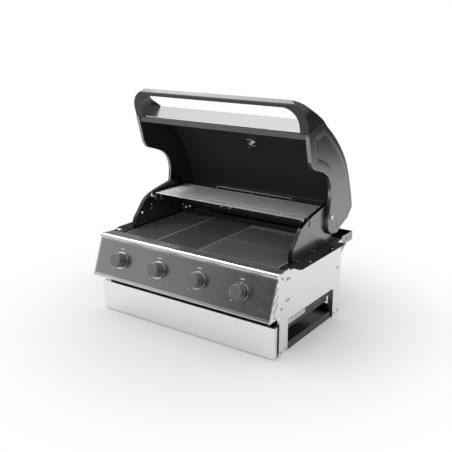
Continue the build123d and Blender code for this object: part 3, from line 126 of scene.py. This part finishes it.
class Finish:
    """A principled material whose colour, roughness and relief come from procedural textures."""

    def __init__(self, name, colour, metallic, roughness, **sockets):
        self.material = bpy.data.materials.new(name)
        self.material.use_nodes = True
        self.tree = self.material.node_tree
        self.shader = self.tree.nodes["Principled BSDF"]
        self.colour = colour
        self.roughness = roughness
        self.put("Base Color", (*colour, 1.0))
        self.put("Metallic", metallic)
        self.put("Roughness", roughness)
        for socket, value in sockets.items():
            self.put(socket.replace("_", " "), value)
        self.normal = None
        self.place = self.tree.nodes.new("ShaderNodeTexCoord")

    def put(self, socket, value):
        self.shader.inputs[socket].default_value = value

    def noise(self, scale, stretch=(1.0, 1.0, 1.0), detail=4.0):
        """Noise in the object's own space; a larger stretch makes finer detail along that axis."""
        links = self.tree.links
        mapping = node_of(self.tree, "ShaderNodeMapping", Scale=stretch)
        links.new(self.place.outputs["Object"], mapping.inputs["Vector"])
        texture = node_of(self.tree, "ShaderNodeTexNoise", Scale=scale, Detail=detail, Roughness=0.55)
        links.new(mapping.outputs["Vector"], texture.inputs["Vector"])
        return texture.outputs["Fac"]

    def ranged(self, value, low, high):
        """The usual spread of a noise, mapped from low to high."""
        return map_range(self.tree, value, 0.3, 0.7, low, high)

    def shade(self, value, amount):
        """The colour, lighter and darker by the amount."""
        mix = self.tree.nodes.new("ShaderNodeMix")
        mix.data_type = "RGBA"
        mix.inputs["A"].default_value = (*(c * (1 - amount) for c in self.colour), 1.0)
        mix.inputs["B"].default_value = (*(min(1.0, c * (1 + amount)) for c in self.colour), 1.0)
        self.tree.links.new(self.ranged(value, 0.0, 1.0), mix.inputs["Factor"])
        self.tree.links.new(mix.outputs["Result"], self.shader.inputs["Base Color"])
        return self

    def mixed(self, share, colour):
        """Another colour in the given share of the surface."""
        mix = self.tree.nodes.new("ShaderNodeMix")
        mix.data_type = "RGBA"
        below = self.shader.inputs["Base Color"].links[0].from_socket
        self.tree.links.new(share, mix.inputs["Factor"])
        self.tree.links.new(below, mix.inputs["A"])
        mix.inputs["B"].default_value = (*colour, 1.0)
        self.tree.links.new(mix.outputs["Result"], self.shader.inputs["Base Color"])
        return self

    def painted_shade_on_edges(self, colour):
        """Painted shade: a darker colour on the surfaces that don't face across, as on the rim of a side
        sheet.
        """
        geometry = self.tree.nodes.new("ShaderNodeNewGeometry")
        parts = self.tree.nodes.new("ShaderNodeSeparateXYZ")
        self.tree.links.new(geometry.outputs["True Normal"], parts.inputs["Vector"])
        across = maths(self.tree, "ABSOLUTE", parts.outputs["X"])
        return self.mixed(map_range(self.tree, across, 0.55, 0.75, 1.0, 0.0), colour)

    def print_and_highlight_above(self, point, normal, colour):
        """Another colour where the surface lies beyond the plane, as the print on a raised needle; on the
        grate and hotplate tops it is a painted highlight.
        """
        offset = vector_maths(self.tree, "SUBTRACT", self.place.outputs["Object"], point)["Vector"]
        height = vector_maths(self.tree, "DOT_PRODUCT", offset, normal)["Value"]
        return self.mixed(maths(self.tree, "GREATER_THAN", height, 0.0), colour)

    def polish(self, value, spread):
        """The roughness, up and down by the spread."""
        low, high = max(0.02, self.roughness - spread), self.roughness + spread
        self.tree.links.new(self.ranged(value, low, high), self.shader.inputs["Roughness"])
        return self

    def relief(self, value, height, strength=1.0):
        """Bump of the given height in metres."""
        bump = node_of(self.tree, "ShaderNodeBump", Strength=strength, Distance=height)
        self.tree.links.new(value, bump.inputs["Height"])
        if self.normal is not None:
            self.tree.links.new(self.normal, bump.inputs["Normal"])
        self.normal = bump.outputs["Normal"]
        self.tree.links.new(self.normal, self.shader.inputs["Normal"])
        return self

    def rounded(self, radius):
        """Edges that catch the light as if they had this radius."""
        bevel = self.tree.nodes.new("ShaderNodeBevel")
        bevel.samples = 4
        bevel.inputs["Radius"].default_value = radius
        self.normal = bevel.outputs["Normal"]
        self.tree.links.new(self.normal, self.shader.inputs["Normal"])
        return self


def brushed(name, colour, roughness, along, depth=0.000002, edge=0.0007):
    """Brushed sheet with its grain along the given axis."""
    stretch = [1.0, 1.0, 1.0]
    stretch["xyz".index(along)] = 0.012
    finish = Finish(name, colour, 1.0, roughness).rounded(edge)
    grain = finish.noise(900.0, stretch, 3.0)
    finish.shade(grain, 0.03).polish(grain, 0.05).relief(grain, depth, 0.5)
    return finish.material


def coated(name, colour, metallic, roughness, peel=0.000003, grain=0.0, edge=0.0008):
    """Coat with a faint orange peel, and a cast grain where it is asked for."""
    finish = Finish(name, colour, metallic, roughness).rounded(edge)
    finish.shade(finish.noise(9.0), 0.05)
    finish.polish(finish.noise(60.0, detail=5.0), 0.03)
    finish.relief(finish.noise(170.0, detail=2.0), peel, 0.5)
    if grain:
        finish.relief(finish.noise(1300.0, detail=3.0), grain, 0.6)
    return finish


def plain(name, colour, metallic, roughness, scale, amount, edge=0.0005):
    """Material whose colour and roughness wander a little."""
    finish = Finish(name, colour, metallic, roughness).rounded(edge)
    finish.shade(finish.noise(scale), amount).polish(finish.noise(scale * 4), 0.05)
    return finish.material


front_steel = brushed("front_steel", (0.90, 0.90, 0.895), 0.24, "x", edge=0.0022)
side_steel = brushed("side_steel", (0.90, 0.90, 0.895), 0.30, "y")
bright_steel = brushed("bright_steel", (0.66, 0.66, 0.66), 0.25, "x", 0.000001, 0.0012)
bracket_steel = brushed("bracket_steel", (0.42, 0.42, 0.425), 0.34, "y")
hood_face_steel = brushed("hood_face_steel", (0.86, 0.86, 0.86), 0.20, "x", 0.000001)
galvanised = plain("galvanised", (0.66, 0.67, 0.68), 1.0, 0.42, 110.0, 0.10)
hood_coat = coated("hood_coat", (0.26, 0.262, 0.266), 0.96, 0.22).material
handle_coat = coated("handle_coat", (0.020, 0.020, 0.021), 0.06, 0.17, 0.0000001, edge=0.0012).material
# The wings' rims are painted near black as shade
wing_coat = coated("wing_coat", (0.26, 0.262, 0.266), 0.96, 0.22).painted_shade_on_edges((0.03, 0.03, 0.031)).material
band_coat = coated("band_coat", (0.17, 0.172, 0.176), 0.80, 0.30).material
skin_coat = coated("skin_coat", (0.05, 0.05, 0.052), 0.3, 0.16).material
liner_coat = coated("liner_coat", (0.040, 0.040, 0.041), 0.1, 0.34, 0.0000006).material
black_coat = coated("black_coat", (0.018, 0.018, 0.019), 0.1, 0.20).material
pan_coat = coated("pan_coat", (0.030, 0.030, 0.032), 0.2, 0.28).material
inset_coat = coated("inset_coat", (0.30, 0.303, 0.308), 0.97, 0.24, 0.0000006).material
up_axis = (0.0, 0.0, 1.0)
# Painted highlight: the grate bars and hotplate ribs are coloured lighter above these heights, where the light
# catches their tops
grate_highlight_heights = (0.0, 0.0, 282.3 * mm)     # the bars are lighter above these heights
plate_highlight_heights = (0.0, 0.0, 281.8 * mm)
# Painted highlight on the tops of the iron bars and ribs; below them the iron stays near black
iron = coated("iron", (0.022, 0.022, 0.023), 0.2, 0.46, 0.000015, 0.00001).print_and_highlight_above(
    grate_highlight_heights, up_axis, (0.20, 0.202, 0.207)).material
plate_iron = coated("plate_iron", (0.03, 0.03, 0.031), 0.2, 0.42, 0.000012, 0.000008).print_and_highlight_above(
    plate_highlight_heights, up_axis, (0.23, 0.232, 0.238)).material
box_coat = coated("box_coat", (0.018, 0.018, 0.018), 0.1, 0.5, 0.00001).material
rack_wire = plain("rack_wire", (0.62, 0.62, 0.625), 1.0, 0.30, 300.0, 0.12)
chrome = plain("chrome", (0.88, 0.88, 0.89), 1.0, 0.07, 30.0, 0.03)
brass = plain("brass", (0.72, 0.52, 0.24), 1.0, 0.34, 90.0, 0.15)
burner_tube = plain("burner_tube", (0.50, 0.49, 0.47), 1.0, 0.40, 25.0, 0.18)
ceramic = plain("ceramic", (0.86, 0.85, 0.82), 0.0, 0.35, 120.0, 0.05)
screw_metal = plain("screw_metal", (0.55, 0.55, 0.56), 1.0, 0.30, 400.0, 0.12, 0.0003)
bolt_metal = plain("bolt_metal", (0.86, 0.86, 0.87), 1.0, 0.14, 200.0, 0.06, 0.0010)
print_white = plain("print_white", (0.74, 0.74, 0.74), 0.0, 0.5, 900.0, 0.06)
print_dark = plain("print_dark", (0.03, 0.03, 0.03), 0.0, 0.5, 900.0, 0.15)
print_red = plain("print_red", (0.55, 0.05, 0.04), 0.0, 0.45, 900.0, 0.10)

finish = Finish("knob_coat", (0.21, 0.212, 0.216), 0.75, 0.38).rounded(0.0016)
finish.shade(finish.noise(40.0), 0.05).polish(finish.noise(900.0), 0.04)
finish.relief(finish.noise(1500.0, detail=2.0), 0.000003, 0.6)
knob_coat = finish.material

finish = Finish("lens_glass", (0.97, 0.98, 0.98), 0.0, 0.04, Transmission_Weight=1.0, IOR=1.47)
finish.relief(finish.noise(120.0), 0.000001, 0.4)
lens_glass = finish.material

dial_finish = Finish("dial_white", (0.84, 0.84, 0.82), 0.0, 0.40)
dial_finish.shade(dial_finish.noise(60.0), 0.03).polish(dial_finish.noise(200.0), 0.05)

looks = {
    "base_pan": pan_coat, "front_leg_left": side_steel, "front_leg_right": side_steel,
    "side_panel_left": side_steel, "side_panel_right": side_steel,
    "corner_strip_left": side_steel, "corner_strip_right": side_steel,
    "rear_panel": galvanised, "firebox": box_coat, "side_wing_left": wing_coat, "side_wing_right": wing_coat,
    "counter_flange_left": black_coat, "counter_flange_right": black_coat,
    "trough_end_left": bracket_steel, "trough_end_right": bracket_steel, "rear_trough": black_coat,
    "trough_gussets": bracket_steel, "fascia_frame": bright_steel, "fascia_inset": inset_coat,
    "fascia_cheek_left": side_steel, "fascia_cheek_right": side_steel, "knob_bezels": chrome,
    "valve_bodies": brass, "gas_manifold": galvanised, "gas_inlet": brass,
    "flame_tamers": burner_tube, "igniter_electrodes": ceramic,
    "grate_left": iron, "grate_middle": iron, "hotplate": plate_iron, "warming_rack": rack_wire,
    "shelf_pins": screw_metal, "drawer_front": front_steel, "drip_tray": pan_coat,
    "drawer_runners": galvanised, "hood_skin": skin_coat, "hood_liner": liner_coat,
    "hood_cap_left": hood_coat, "hood_cap_right": hood_coat, "hood_front_panel": hood_face_steel,
    "hood_band": band_coat, "hood_handle": handle_coat, "thermometer_case": chrome,
    "thermometer_dial": dial_finish.material, "thermometer_lens": lens_glass, "thermometer_nut": chrome,
    "hinge_bolts": bolt_metal, "panel_screws": screw_metal,
}
for index in range(1, 5):
    looks[f"burner_{index}"] = burner_tube
    looks[f"valve_stem_{index}"] = brass
    looks[f"knob_{index}"] = knob_coat
for node, material in looks.items():
    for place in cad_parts[node].material_slots:
        place.link = "OBJECT"
        place.material = material


# Pieces
def piece_of(name, mesh, material, body):
    """An object of the model from a mesh, riding on its body."""
    piece = bpy.data.objects.new(name, mesh)
    bpy.context.scene.collection.objects.link(piece)
    if not mesh.materials:
        mesh.materials.append(material)
    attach(piece, body)
    return piece


def mesh_of(name, bm, recalculated=True):
    mesh = bpy.data.meshes.new(name)
    if recalculated:
        bmesh.ops.recalc_face_normals(bm, faces=bm.faces)
    bm.to_mesh(mesh)
    bm.free()
    return mesh


def hood_point(x, y, z):
    """A point of the closed hood, from its pivot, where the open hood has it."""
    return Vector((
        x,
        pivot.y + y * math.cos(open_angle) + z * math.sin(open_angle),
        pivot.z - y * math.sin(open_angle) + z * math.cos(open_angle),
    ))


def closed_place(point):
    """Depth and height from the pivot, on the closed hood, of a point of the open one."""
    depth, height = point.y - pivot.y, point.z - pivot.z
    return (
        depth * math.cos(open_angle) - height * math.sin(open_angle),
        depth * math.sin(open_angle) + height * math.cos(open_angle),
    )


def panel_point(x, up, out):
    """A point of the control panel: across, up along it and out of it."""
    return panel_low + Vector((x, up * math.sin(lean), up * math.cos(lean))) + panel_normal * out


def smooth_path(points, steps):
    """Catmull-Rom points through the given ones."""
    path = []
    last = len(points) - 1
    for i in range(last):
        before, start = points[max(i - 1, 0)], points[i]
        end, after = points[i + 1], points[min(i + 2, last)]
        for step in range(steps):
            t = step / steps
            path.append(0.5 * (
                2 * start + (end - before) * t + (2 * before - 5 * start + 4 * end - after) * t * t
                + (3 * start - before - 3 * end + after) * t ** 3
            ))
    path.append(points[-1])
    return path


def strip(bm, rows, closed=False):
    """Faces between rows of points; returns the rows of vertices."""
    rings = [[bm.verts.new(point) for point in row] for row in rows]
    for ring, following in zip(rings, rings[1:]):
        for i in range(len(ring) if closed else len(ring) - 1):
            j = (i + 1) % len(ring)
            face = bm.faces.new((ring[i], ring[j], following[j], following[i]))
            face.smooth = True
    return rings


# End caps with a broad rounded edge, each with a raised field on its outside
def flat_border(node, x):
    """The outer border of a node's flat face at the given x, as points in order."""
    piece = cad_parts[node]
    mesh, matrix = piece.data, piece.matrix_world
    corners = [matrix @ vertex.co for vertex in mesh.vertices]
    keys = [(round(c.y * 1e5), round(c.z * 1e5)) for c in corners]
    places = dict(zip(keys, corners))
    sides = {}
    for polygon in mesh.polygons:
        loop = list(polygon.vertices)
        if all(abs(corners[i].x - x) < 2e-5 for i in loop):
            for i, j in zip(loop, loop[1:] + loop[:1]):
                if (keys[j], keys[i]) in sides:
                    del sides[(keys[j], keys[i])]
                else:
                    sides[(keys[i], keys[j])] = True
    after = {}
    for start, end in sides:
        after[start] = end
    borders = []
    while after:
        start, end = after.popitem()
        border = [start]
        while end != start and end in after:
            border.append(end)
            end = after.pop(end)
        borders.append(border)
    longest = max(borders, key=len)
    return [places[key] for key in longest]


def even_path(points, spacing):
    """A closed path with more points on its long stretches."""
    path = []
    for start, end in zip(points, points[1:] + points[:1]):
        count = max(1, math.ceil((end - start).length / spacing))
        path.extend(start.lerp(end, k / count) for k in range(count))
    return path


def inward(points):
    """Directions into a closed outline that lies across X, one for each point, stretched at its corners."""
    area = sum(a.y * b.z - b.y * a.z for a, b in zip(points, points[1:] + points[:1]))
    turn = 1.0 if area > 0 else -1.0
    ways = []
    for i, point in enumerate(points):
        first = (point - points[i - 1]).normalized()
        second = (points[(i + 1) % len(points)] - point).normalized()
        across = (Vector((0, -first.z, first.y)) + Vector((0, -second.z, second.y))) * turn
        ways.append(across / max(0.5, 1 + first.dot(second)))
    return ways


def edge_radius(point):
    """Rounding of the cap's edge: broad over the top and back, small in front, none beside the handle."""
    broad, small, fade = 8.0 * mm, 3.0 * mm, 26.0 * mm
    handle_height, skin_height, back_depth = 20.0 * mm, 23.0 * mm, 46.0 * mm
    depth, height = closed_place(point)
    gap = math.hypot(depth + hood_front, max(0.0, height - handle_height))
    outer = height > skin_height or depth > back_depth
    return (broad if outer else small) * min(1.0, gap / fade)


def rounded_cap(side, hand):
    """The cap as a dished sheet with a rim and a rounded edge, and a boss at the pivot."""
    spacing, smoothings, steps = 5.0 * mm, 6, 6
    rim, sheet = 3.0 * mm, 2.6 * mm
    boss, turns = 14.0 * mm, 32
    outline = even_path(flat_border(f"hood_cap_{side}", hand * cap_outer), spacing)
    ways = inward(outline)
    count = len(outline)
    radii = [edge_radius(point) for point in outline]
    for _ in range(smoothings):
        radii = [(radii[i - 1] + radii[i] + radii[(i + 1) % count]) / 3 for i in range(count)]

    def ring(places_x, insets):
        return [
            Vector((hand * x, point.y, point.z)) + way * inset
            for x, inset, point, way in zip(places_x, insets, outline, ways)
        ]

    rows = [
        ring([x] * count, [inset] * count)
        for x, inset in ((cap_outer - sheet, rim), (cap_inner, rim), (cap_inner, 0.0))
    ]
    for step in range(steps + 1):
        turn = math.pi / 2 * step / steps
        rows.append(ring(
            [cap_outer - r * (1 - math.sin(turn)) for r in radii],
            [r * (1 - math.cos(turn)) for r in radii],
        ))
    bm = bmesh.new()
    rings = strip(bm, rows, closed=True)
    bm.faces.new(rings[0])
    bm.faces.new(rings[-1])
    for kept in rings[:4]:
        for i, vertex in enumerate(kept):
            edge = bm.edges.get((vertex, kept[(i + 1) % count]))
            if edge:
                edge.smooth = False
    angles = [math.tau * k / turns for k in range(turns)]
    boss_rings = strip(bm, [
        [Vector((hand * x, pivot.y + boss * math.cos(a), pivot.z + boss * math.sin(a))) for a in angles]
        for x in (cap_outer - sheet, cap_inner)
    ], closed=True)
    bm.faces.new(boss_rings[1])
    name = f"rounded_cap_{side}"
    piece = piece_of(name, mesh_of(name, bm), hood_coat, "hood")
    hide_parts(f"hood_cap_{side}")


# The line round the raised field, in millimetres from the pivot of the closed hood: depth and height
field_places = (
    (-128.5, 35.2), (-161.7, 22.4), (-189, 5.2), (-215.5, -26.2), (-228.3, -45.1), (-241.1, -56.6),
    (-257.3, -60.3), (-300, -57), (-318, -55), (-323, -48), (-323, -19), (-322, 19.5), (-306.7, 34.6),
    (-284.4, 52.5), (-251.7, 76.4), (-224.9, 94.5), (-194, 112.5), (-144.4, 135.8), (-104.4, 145.4),
    (-48.5, 152.7), (12.4, 151.3), (43.1, 146.3), (52.5, 103), (58.3, 69.1), (58.1, 44.9), (54.2, 29.6),
    (44.4, 23.4),
)


def field_line(side, hand):
    """Step of the raised field: a black strip of painted shadow at its foot, a narrow chamfer and a long slope
    back. It fades at both ends.
    """
    fade, step_height = 0.05, 0.8 * mm
    painted_shadow_start, painted_shadow_width, painted_shadow_lift = 0.8 * mm, 1.7 * mm, 0.06 * mm
    chamfer_start, chamfer_end, crest_end, slope_end = 0.9 * mm, 0.4 * mm, 1.2 * mm, 17.0 * mm
    sunk = 0.1 * mm
    path = smooth_path([hood_point(hand * cap_outer, y * mm, z * mm) for y, z in field_places], 8)
    last = len(path) - 1
    out = Vector((hand, 0, 0))
    rows, painted_shadows = [], []
    for i, point in enumerate(path):
        along = (path[min(i + 1, last)] - path[max(i - 1, 0)]).normalized()
        across = along.cross(Vector((1, 0, 0)))
        drawn = min(1.0, i / last / fade, (1 - i / last) / fade)
        painted_shadows.append((
            point - across * painted_shadow_start + out * painted_shadow_lift,
            point - across * (painted_shadow_start + painted_shadow_width * drawn) + out * painted_shadow_lift,
        ))
        rows.append((
            point - across * chamfer_start - out * sunk,
            point + across * chamfer_end + out * step_height * drawn,
            point + across * crest_end + out * step_height * drawn,
            point + across * slope_end - out * sunk,
        ))

    def add(name, strips, coat):
        bm = bmesh.new()
        for lines in strips:
            strip(bm, lines)
        bm.normal_update()
        bmesh.ops.reverse_faces(bm, faces=[face for face in bm.faces if face.normal.dot(out) < 0])
        piece_of(name, mesh_of(name, bm, recalculated=False), coat, "hood")

    lines = list(zip(*rows))
    add(f"cap_field_{side}", (lines[:2], lines[1:]), hood_coat)
    # A black strip of painted shadow along the foot of the step, where a groove would lie in shade
    add(f"cap_field_{side}_painted_shadow", (list(zip(*painted_shadows)),), black_coat)


# Printed marks on the panel and dots on the knobs
def patch(bm, corners):
    bm.faces.new([bm.verts.new(corner) for corner in corners])


def disc(bm, centre, across, up, radius, turns=20):
    angles = [math.tau * k / turns for k in range(turns)]
    patch(bm, [centre + across * radius * math.cos(a) + up * radius * math.sin(a) for a in angles])


def panel_marks():
    """Two bars above each knob and a tick beside it."""
    lift = 0.06 * mm
    marks = ((-7.5, 39.5, -1.0, 43.0), (1.0, 39.5, 7.5, 43.0), (-29.0, -35.0, -25.0, -32.5))
    bm = bmesh.new()
    for place_x in knob_places:
        for x0, y0, x1, y1 in marks:
            patch(bm, [
                panel_point(place_x + x * mm, knob_height + y * mm, lift)
                for x, y in ((x0, y0), (x1, y0), (x1, y1), (x0, y1))
            ])
    mesh = mesh_of("panel_marks", bm, recalculated=False)
    piece_of("panel_marks", mesh, print_white, "chassis")


def knob_dots():
    """A dot on the face of each knob."""
    dot_x, dot_y, dot_radius, lift = -17.5 * mm, -7.5 * mm, 1.7 * mm, 0.05 * mm
    up = Vector((0, math.sin(lean), math.cos(lean)))
    for index, place_x in enumerate(knob_places, start=1):
        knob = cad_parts[f"knob_{index}"]
        reach = max((knob.matrix_world @ v.co - panel_low).dot(panel_normal) for v in knob.data.vertices)
        bm = bmesh.new()
        centre = panel_point(place_x + dot_x, knob_height + dot_y, reach + lift)
        disc(bm, centre, Vector((1, 0, 0)), up, dot_radius)
        name = f"knob_dot_{index}"
        mesh = mesh_of(name, bm, recalculated=False)
        piece_of(name, mesh, print_white, f"knob_body_{index}")


# Scale of the thermometer on the outside of the hood
def dial_face():
    """Centre, outward direction and up direction of the dial's face."""
    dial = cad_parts["thermometer_dial"]
    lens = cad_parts["thermometer_lens"]
    corners = [dial.matrix_world @ v.co for v in dial.data.vertices]
    glass = [lens.matrix_world @ v.co for v in lens.data.vertices]
    middle = sum((c for c in corners), Vector()) / len(corners)
    glass_middle = sum((c for c in glass), Vector()) / len(glass)
    best = max(lens.data.polygons, key=lambda p: p.area)
    normal = best.normal.copy()
    if normal.dot(glass_middle - middle) < 0:
        normal = -normal
    levels = {}
    for polygon in dial.data.polygons:
        if polygon.normal.dot(normal) > 0.99:
            level = round((dial.matrix_world @ polygon.center).dot(normal), 5)
            levels[level] = levels.get(level, 0.0) + polygon.area
    face = max(levels, key=levels.get)
    centre = glass_middle - normal * (glass_middle.dot(normal) - face)
    up = normal.cross(Vector((1, 0, 0))).normalized()
    if closed_place(centre + up)[1] < closed_place(centre)[1]:
        up = -up
    return centre, normal, up


def thermometer_scale():
    """Ticks, a ring with a red end and plain numbers; the needle is printed dark."""
    first, last, warm_from = -130, 130, 60
    ticks, ticks_per_number, ring_steps = 40, 5, 24
    tick_outer, ring_inner, ring_outer, number_radius = 23.0 * mm, 23.6 * mm, 24.6 * mm, 14.2 * mm
    long_tick, short_tick = (0.55 * mm, 18.0 * mm), (0.3 * mm, 20.0 * mm)    # half width, inner radius
    needle_clearance, lift = 0.3 * mm, 0.08 * mm
    centre, normal, up = dial_face()
    across = Vector((1, 0, 0)) if up.cross(normal).x > 0 else Vector((-1, 0, 0))
    dial_finish.print_and_highlight_above(centre + normal * needle_clearance, normal, (0.03, 0.03, 0.03))
    lifted = centre + normal * lift

    def at(angle, radius):
        return lifted + across * radius * math.sin(angle) + up * radius * math.cos(angle)

    def turned(share, start=first, end=last):
        return math.radians(start + (end - start) * share)

    marks, warm = bmesh.new(), bmesh.new()
    for k in range(ticks + 1):
        half_width, inner = short_tick if k % ticks_per_number else long_tick
        angle, half = turned(k / ticks), half_width / tick_outer
        patch(marks, [
            at(angle - half, tick_outer), at(angle + half, tick_outer),
            at(angle + half, inner), at(angle - half, inner),
        ])
    for start, end, bm in ((first, warm_from, marks), (warm_from, last, warm)):
        for k in range(ring_steps):
            a, b = turned(k / ring_steps, start, end), turned((k + 1) / ring_steps, start, end)
            patch(bm, [at(a, ring_outer), at(b, ring_outer), at(b, ring_inner), at(a, ring_inner)])
    piece_of("dial_marks", mesh_of("dial_marks", marks, recalculated=False), print_dark, "hood")
    piece_of("dial_zone", mesh_of("dial_zone", warm, recalculated=False), print_red, "hood")
    for k in range(0, 9, 2):
        data = bpy.data.curves.new("number", "FONT")
        data.body = str(50 * k)
        data.size = 5.2 * mm
        data.align_x = "CENTER"
        data.align_y = "CENTER"
        data.resolution_u = 3
        letters = bpy.data.objects.new("number", data)
        mesh = bpy.data.meshes.new_from_object(letters)
        bpy.data.objects.remove(letters)
        place = at(turned(k * ticks_per_number / ticks), number_radius)
        for vertex in mesh.vertices:
            vertex.co = place + across * vertex.co.x + up * vertex.co.y
        mesh.name = f"dial_number_{50 * k}"
        piece_of(mesh.name, mesh, print_dark, "hood")


def thermometer_dish():
    """Bright dished ring on the flange of the thermometer's nut, inside the hood."""
    # radius and height above the flange, in millimetres
    profile = (
        (11.0, 0.1), (14.0, 0.4), (17.5, 1.5), (20.0, 3.2), (21.4, 3.4), (22.3, 2.6), (22.5, 1.0),
        (22.1, -1.6),
    )
    flange_radius, turns = 20.0 * mm, 64
    centre, normal, up = dial_face()
    across = normal.cross(up)
    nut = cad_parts["thermometer_nut"]
    reach = 0.0
    for vertex in nut.data.vertices:
        offset = nut.matrix_world @ vertex.co - centre
        depth = -offset.dot(normal)
        if (offset + normal * depth).length > flange_radius:
            reach = max(reach, depth)
    bm = bmesh.new()
    strip(bm, [[
        centre - normal * (reach + height * mm)
        + (across * math.cos(math.tau * k / turns) + up * math.sin(math.tau * k / turns)) * radius * mm
        for k in range(turns)
    ] for radius, height in profile], closed=True)
    piece_of("thermometer_dish", mesh_of("thermometer_dish", bm), chrome, "hood")


# Floor, backdrop and light
def floor_material():
    """White floor: soft shadows near the object, plain white far off, and in gloss a dark room beyond."""
    material = bpy.data.materials.new("floor")
    material.use_nodes = True
    tree = material.node_tree
    tree.nodes.clear()
    output = tree.nodes.new("ShaderNodeOutputMaterial")
    diffuse = node_of(tree, "ShaderNodeBsdfDiffuse", Color=(0.93, 0.93, 0.93, 1.0))
    glow = node_of(tree, "ShaderNodeEmission", Color=(1.0, 1.0, 1.0, 1.0), Strength=1.0)
    dark = node_of(tree, "ShaderNodeEmission", Color=(0.02, 0.02, 0.02, 1.0), Strength=1.0)
    place = tree.nodes.new("ShaderNodeTexCoord")
    distance = vector_maths(tree, "LENGTH", place.outputs["Object"])["Value"]
    ray = tree.nodes.new("ShaderNodeLightPath")
    glowing = map_range(tree, distance, 0.40, 1.05, 0.10, 1.0, smooth=True)
    whitened = mix_shaders(
        tree, maths(tree, "MULTIPLY", glowing, seen_directly(tree, ray)),
        diffuse.outputs["BSDF"], glow.outputs["Emission"],
    )
    far = map_range(tree, distance, 2.4, 3.9, smooth=True)
    ended = mix_shaders(
        tree, maths(tree, "MULTIPLY", far, ray.outputs["Is Glossy Ray"]), whitened, dark.outputs["Emission"],
    )
    tree.links.new(ended, output.inputs["Surface"])
    return material


def add_floor():
    bm = bmesh.new()
    bmesh.ops.create_circle(bm, cap_ends=True, radius=4.5, segments=96)
    floor = bpy.data.objects.new("floor", mesh_of("floor", bm))
    floor.data.materials.append(floor_material())
    bpy.context.scene.collection.objects.link(floor)


def add_world():
    """White to the camera, even fill for diffuse light; in gloss a bright top and left, dark elsewhere."""
    world = bpy.data.worlds.new("world")
    bpy.context.scene.world = world
    world.use_nodes = True
    tree = world.node_tree
    tree.nodes.clear()
    output = tree.nodes.new("ShaderNodeOutputWorld")
    fill = node_of(tree, "ShaderNodeBackground", Color=(1.0, 1.0, 1.0, 1.0), Strength=0.88)
    white = node_of(tree, "ShaderNodeBackground", Color=(1.0, 1.0, 1.0, 1.0), Strength=1.0)
    shine = node_of(tree, "ShaderNodeBackground", Color=(1.0, 1.0, 1.0, 1.0))
    place = tree.nodes.new("ShaderNodeTexCoord")

    def band(direction, start, end):
        """Rises from 0 to 1 as the view turns to the given direction."""
        turned = vector_maths(tree, "DOT_PRODUCT", place.outputs["Generated"], direction)["Value"]
        return map_range(tree, turned, start, end, smooth=True)

    above, left = band((0.0, 0.0, 1.0), 0.25, 0.60), band((-0.94, -0.34, 0.0), 0.76, 0.85)
    level = map_range(tree, maths(tree, "MAXIMUM", above, left), 0.0, 1.0, 0.04, 0.84)
    tree.links.new(level, shine.inputs["Strength"])
    ray = tree.nodes.new("ShaderNodeLightPath")
    lit = mix_shaders(
        tree, ray.outputs["Is Glossy Ray"], fill.outputs["Background"], shine.outputs["Background"],
    )
    seen = mix_shaders(tree, seen_directly(tree, ray), lit, white.outputs["Background"])
    tree.links.new(seen, output.inputs["Surface"])


def add_lamp(name, position, target, size, power, gloss_only=False):
    data = bpy.data.lights.new(name, "AREA")
    data.shape = "RECTANGLE"
    data.size, data.size_y = size
    data.energy = power
    light = bpy.data.objects.new(name, data)
    light.location = position
    light.visible_diffuse = not gloss_only
    light.rotation_mode = "QUATERNION"
    light.rotation_quaternion = (Vector(target) - Vector(position)).to_track_quat("-Z", "Y")
    bpy.context.scene.collection.objects.link(light)


bpy.context.scene.view_settings.view_transform = "Standard"
add_camera()
add_floor()
add_world()
add_lamp("key", (-2.6, -1.2, 3.0), (0.0, 0.0, 0.3), (2.4, 2.4), 24.0)
add_lamp("softbox", (-1.75, 0.0, 3.46), (0.0, 0.0, 0.78), (1.5, 1.5), 56.0, gloss_only=True)

for side, hand in (("left", -1), ("right", 1)):
    rounded_cap(side, hand)
    field_line(side, hand)
panel_marks()
knob_dots()
thermometer_scale()
thermometer_dish()

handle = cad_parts["hood_handle"]
soft_edges = handle.modifiers.new("soft edges", "BEVEL")
soft_edges.width = 5.0 * mm
soft_edges.segments = 4
soft_edges.limit_method = "ANGLE"
soft_edges.angle_limit = math.radians(35)
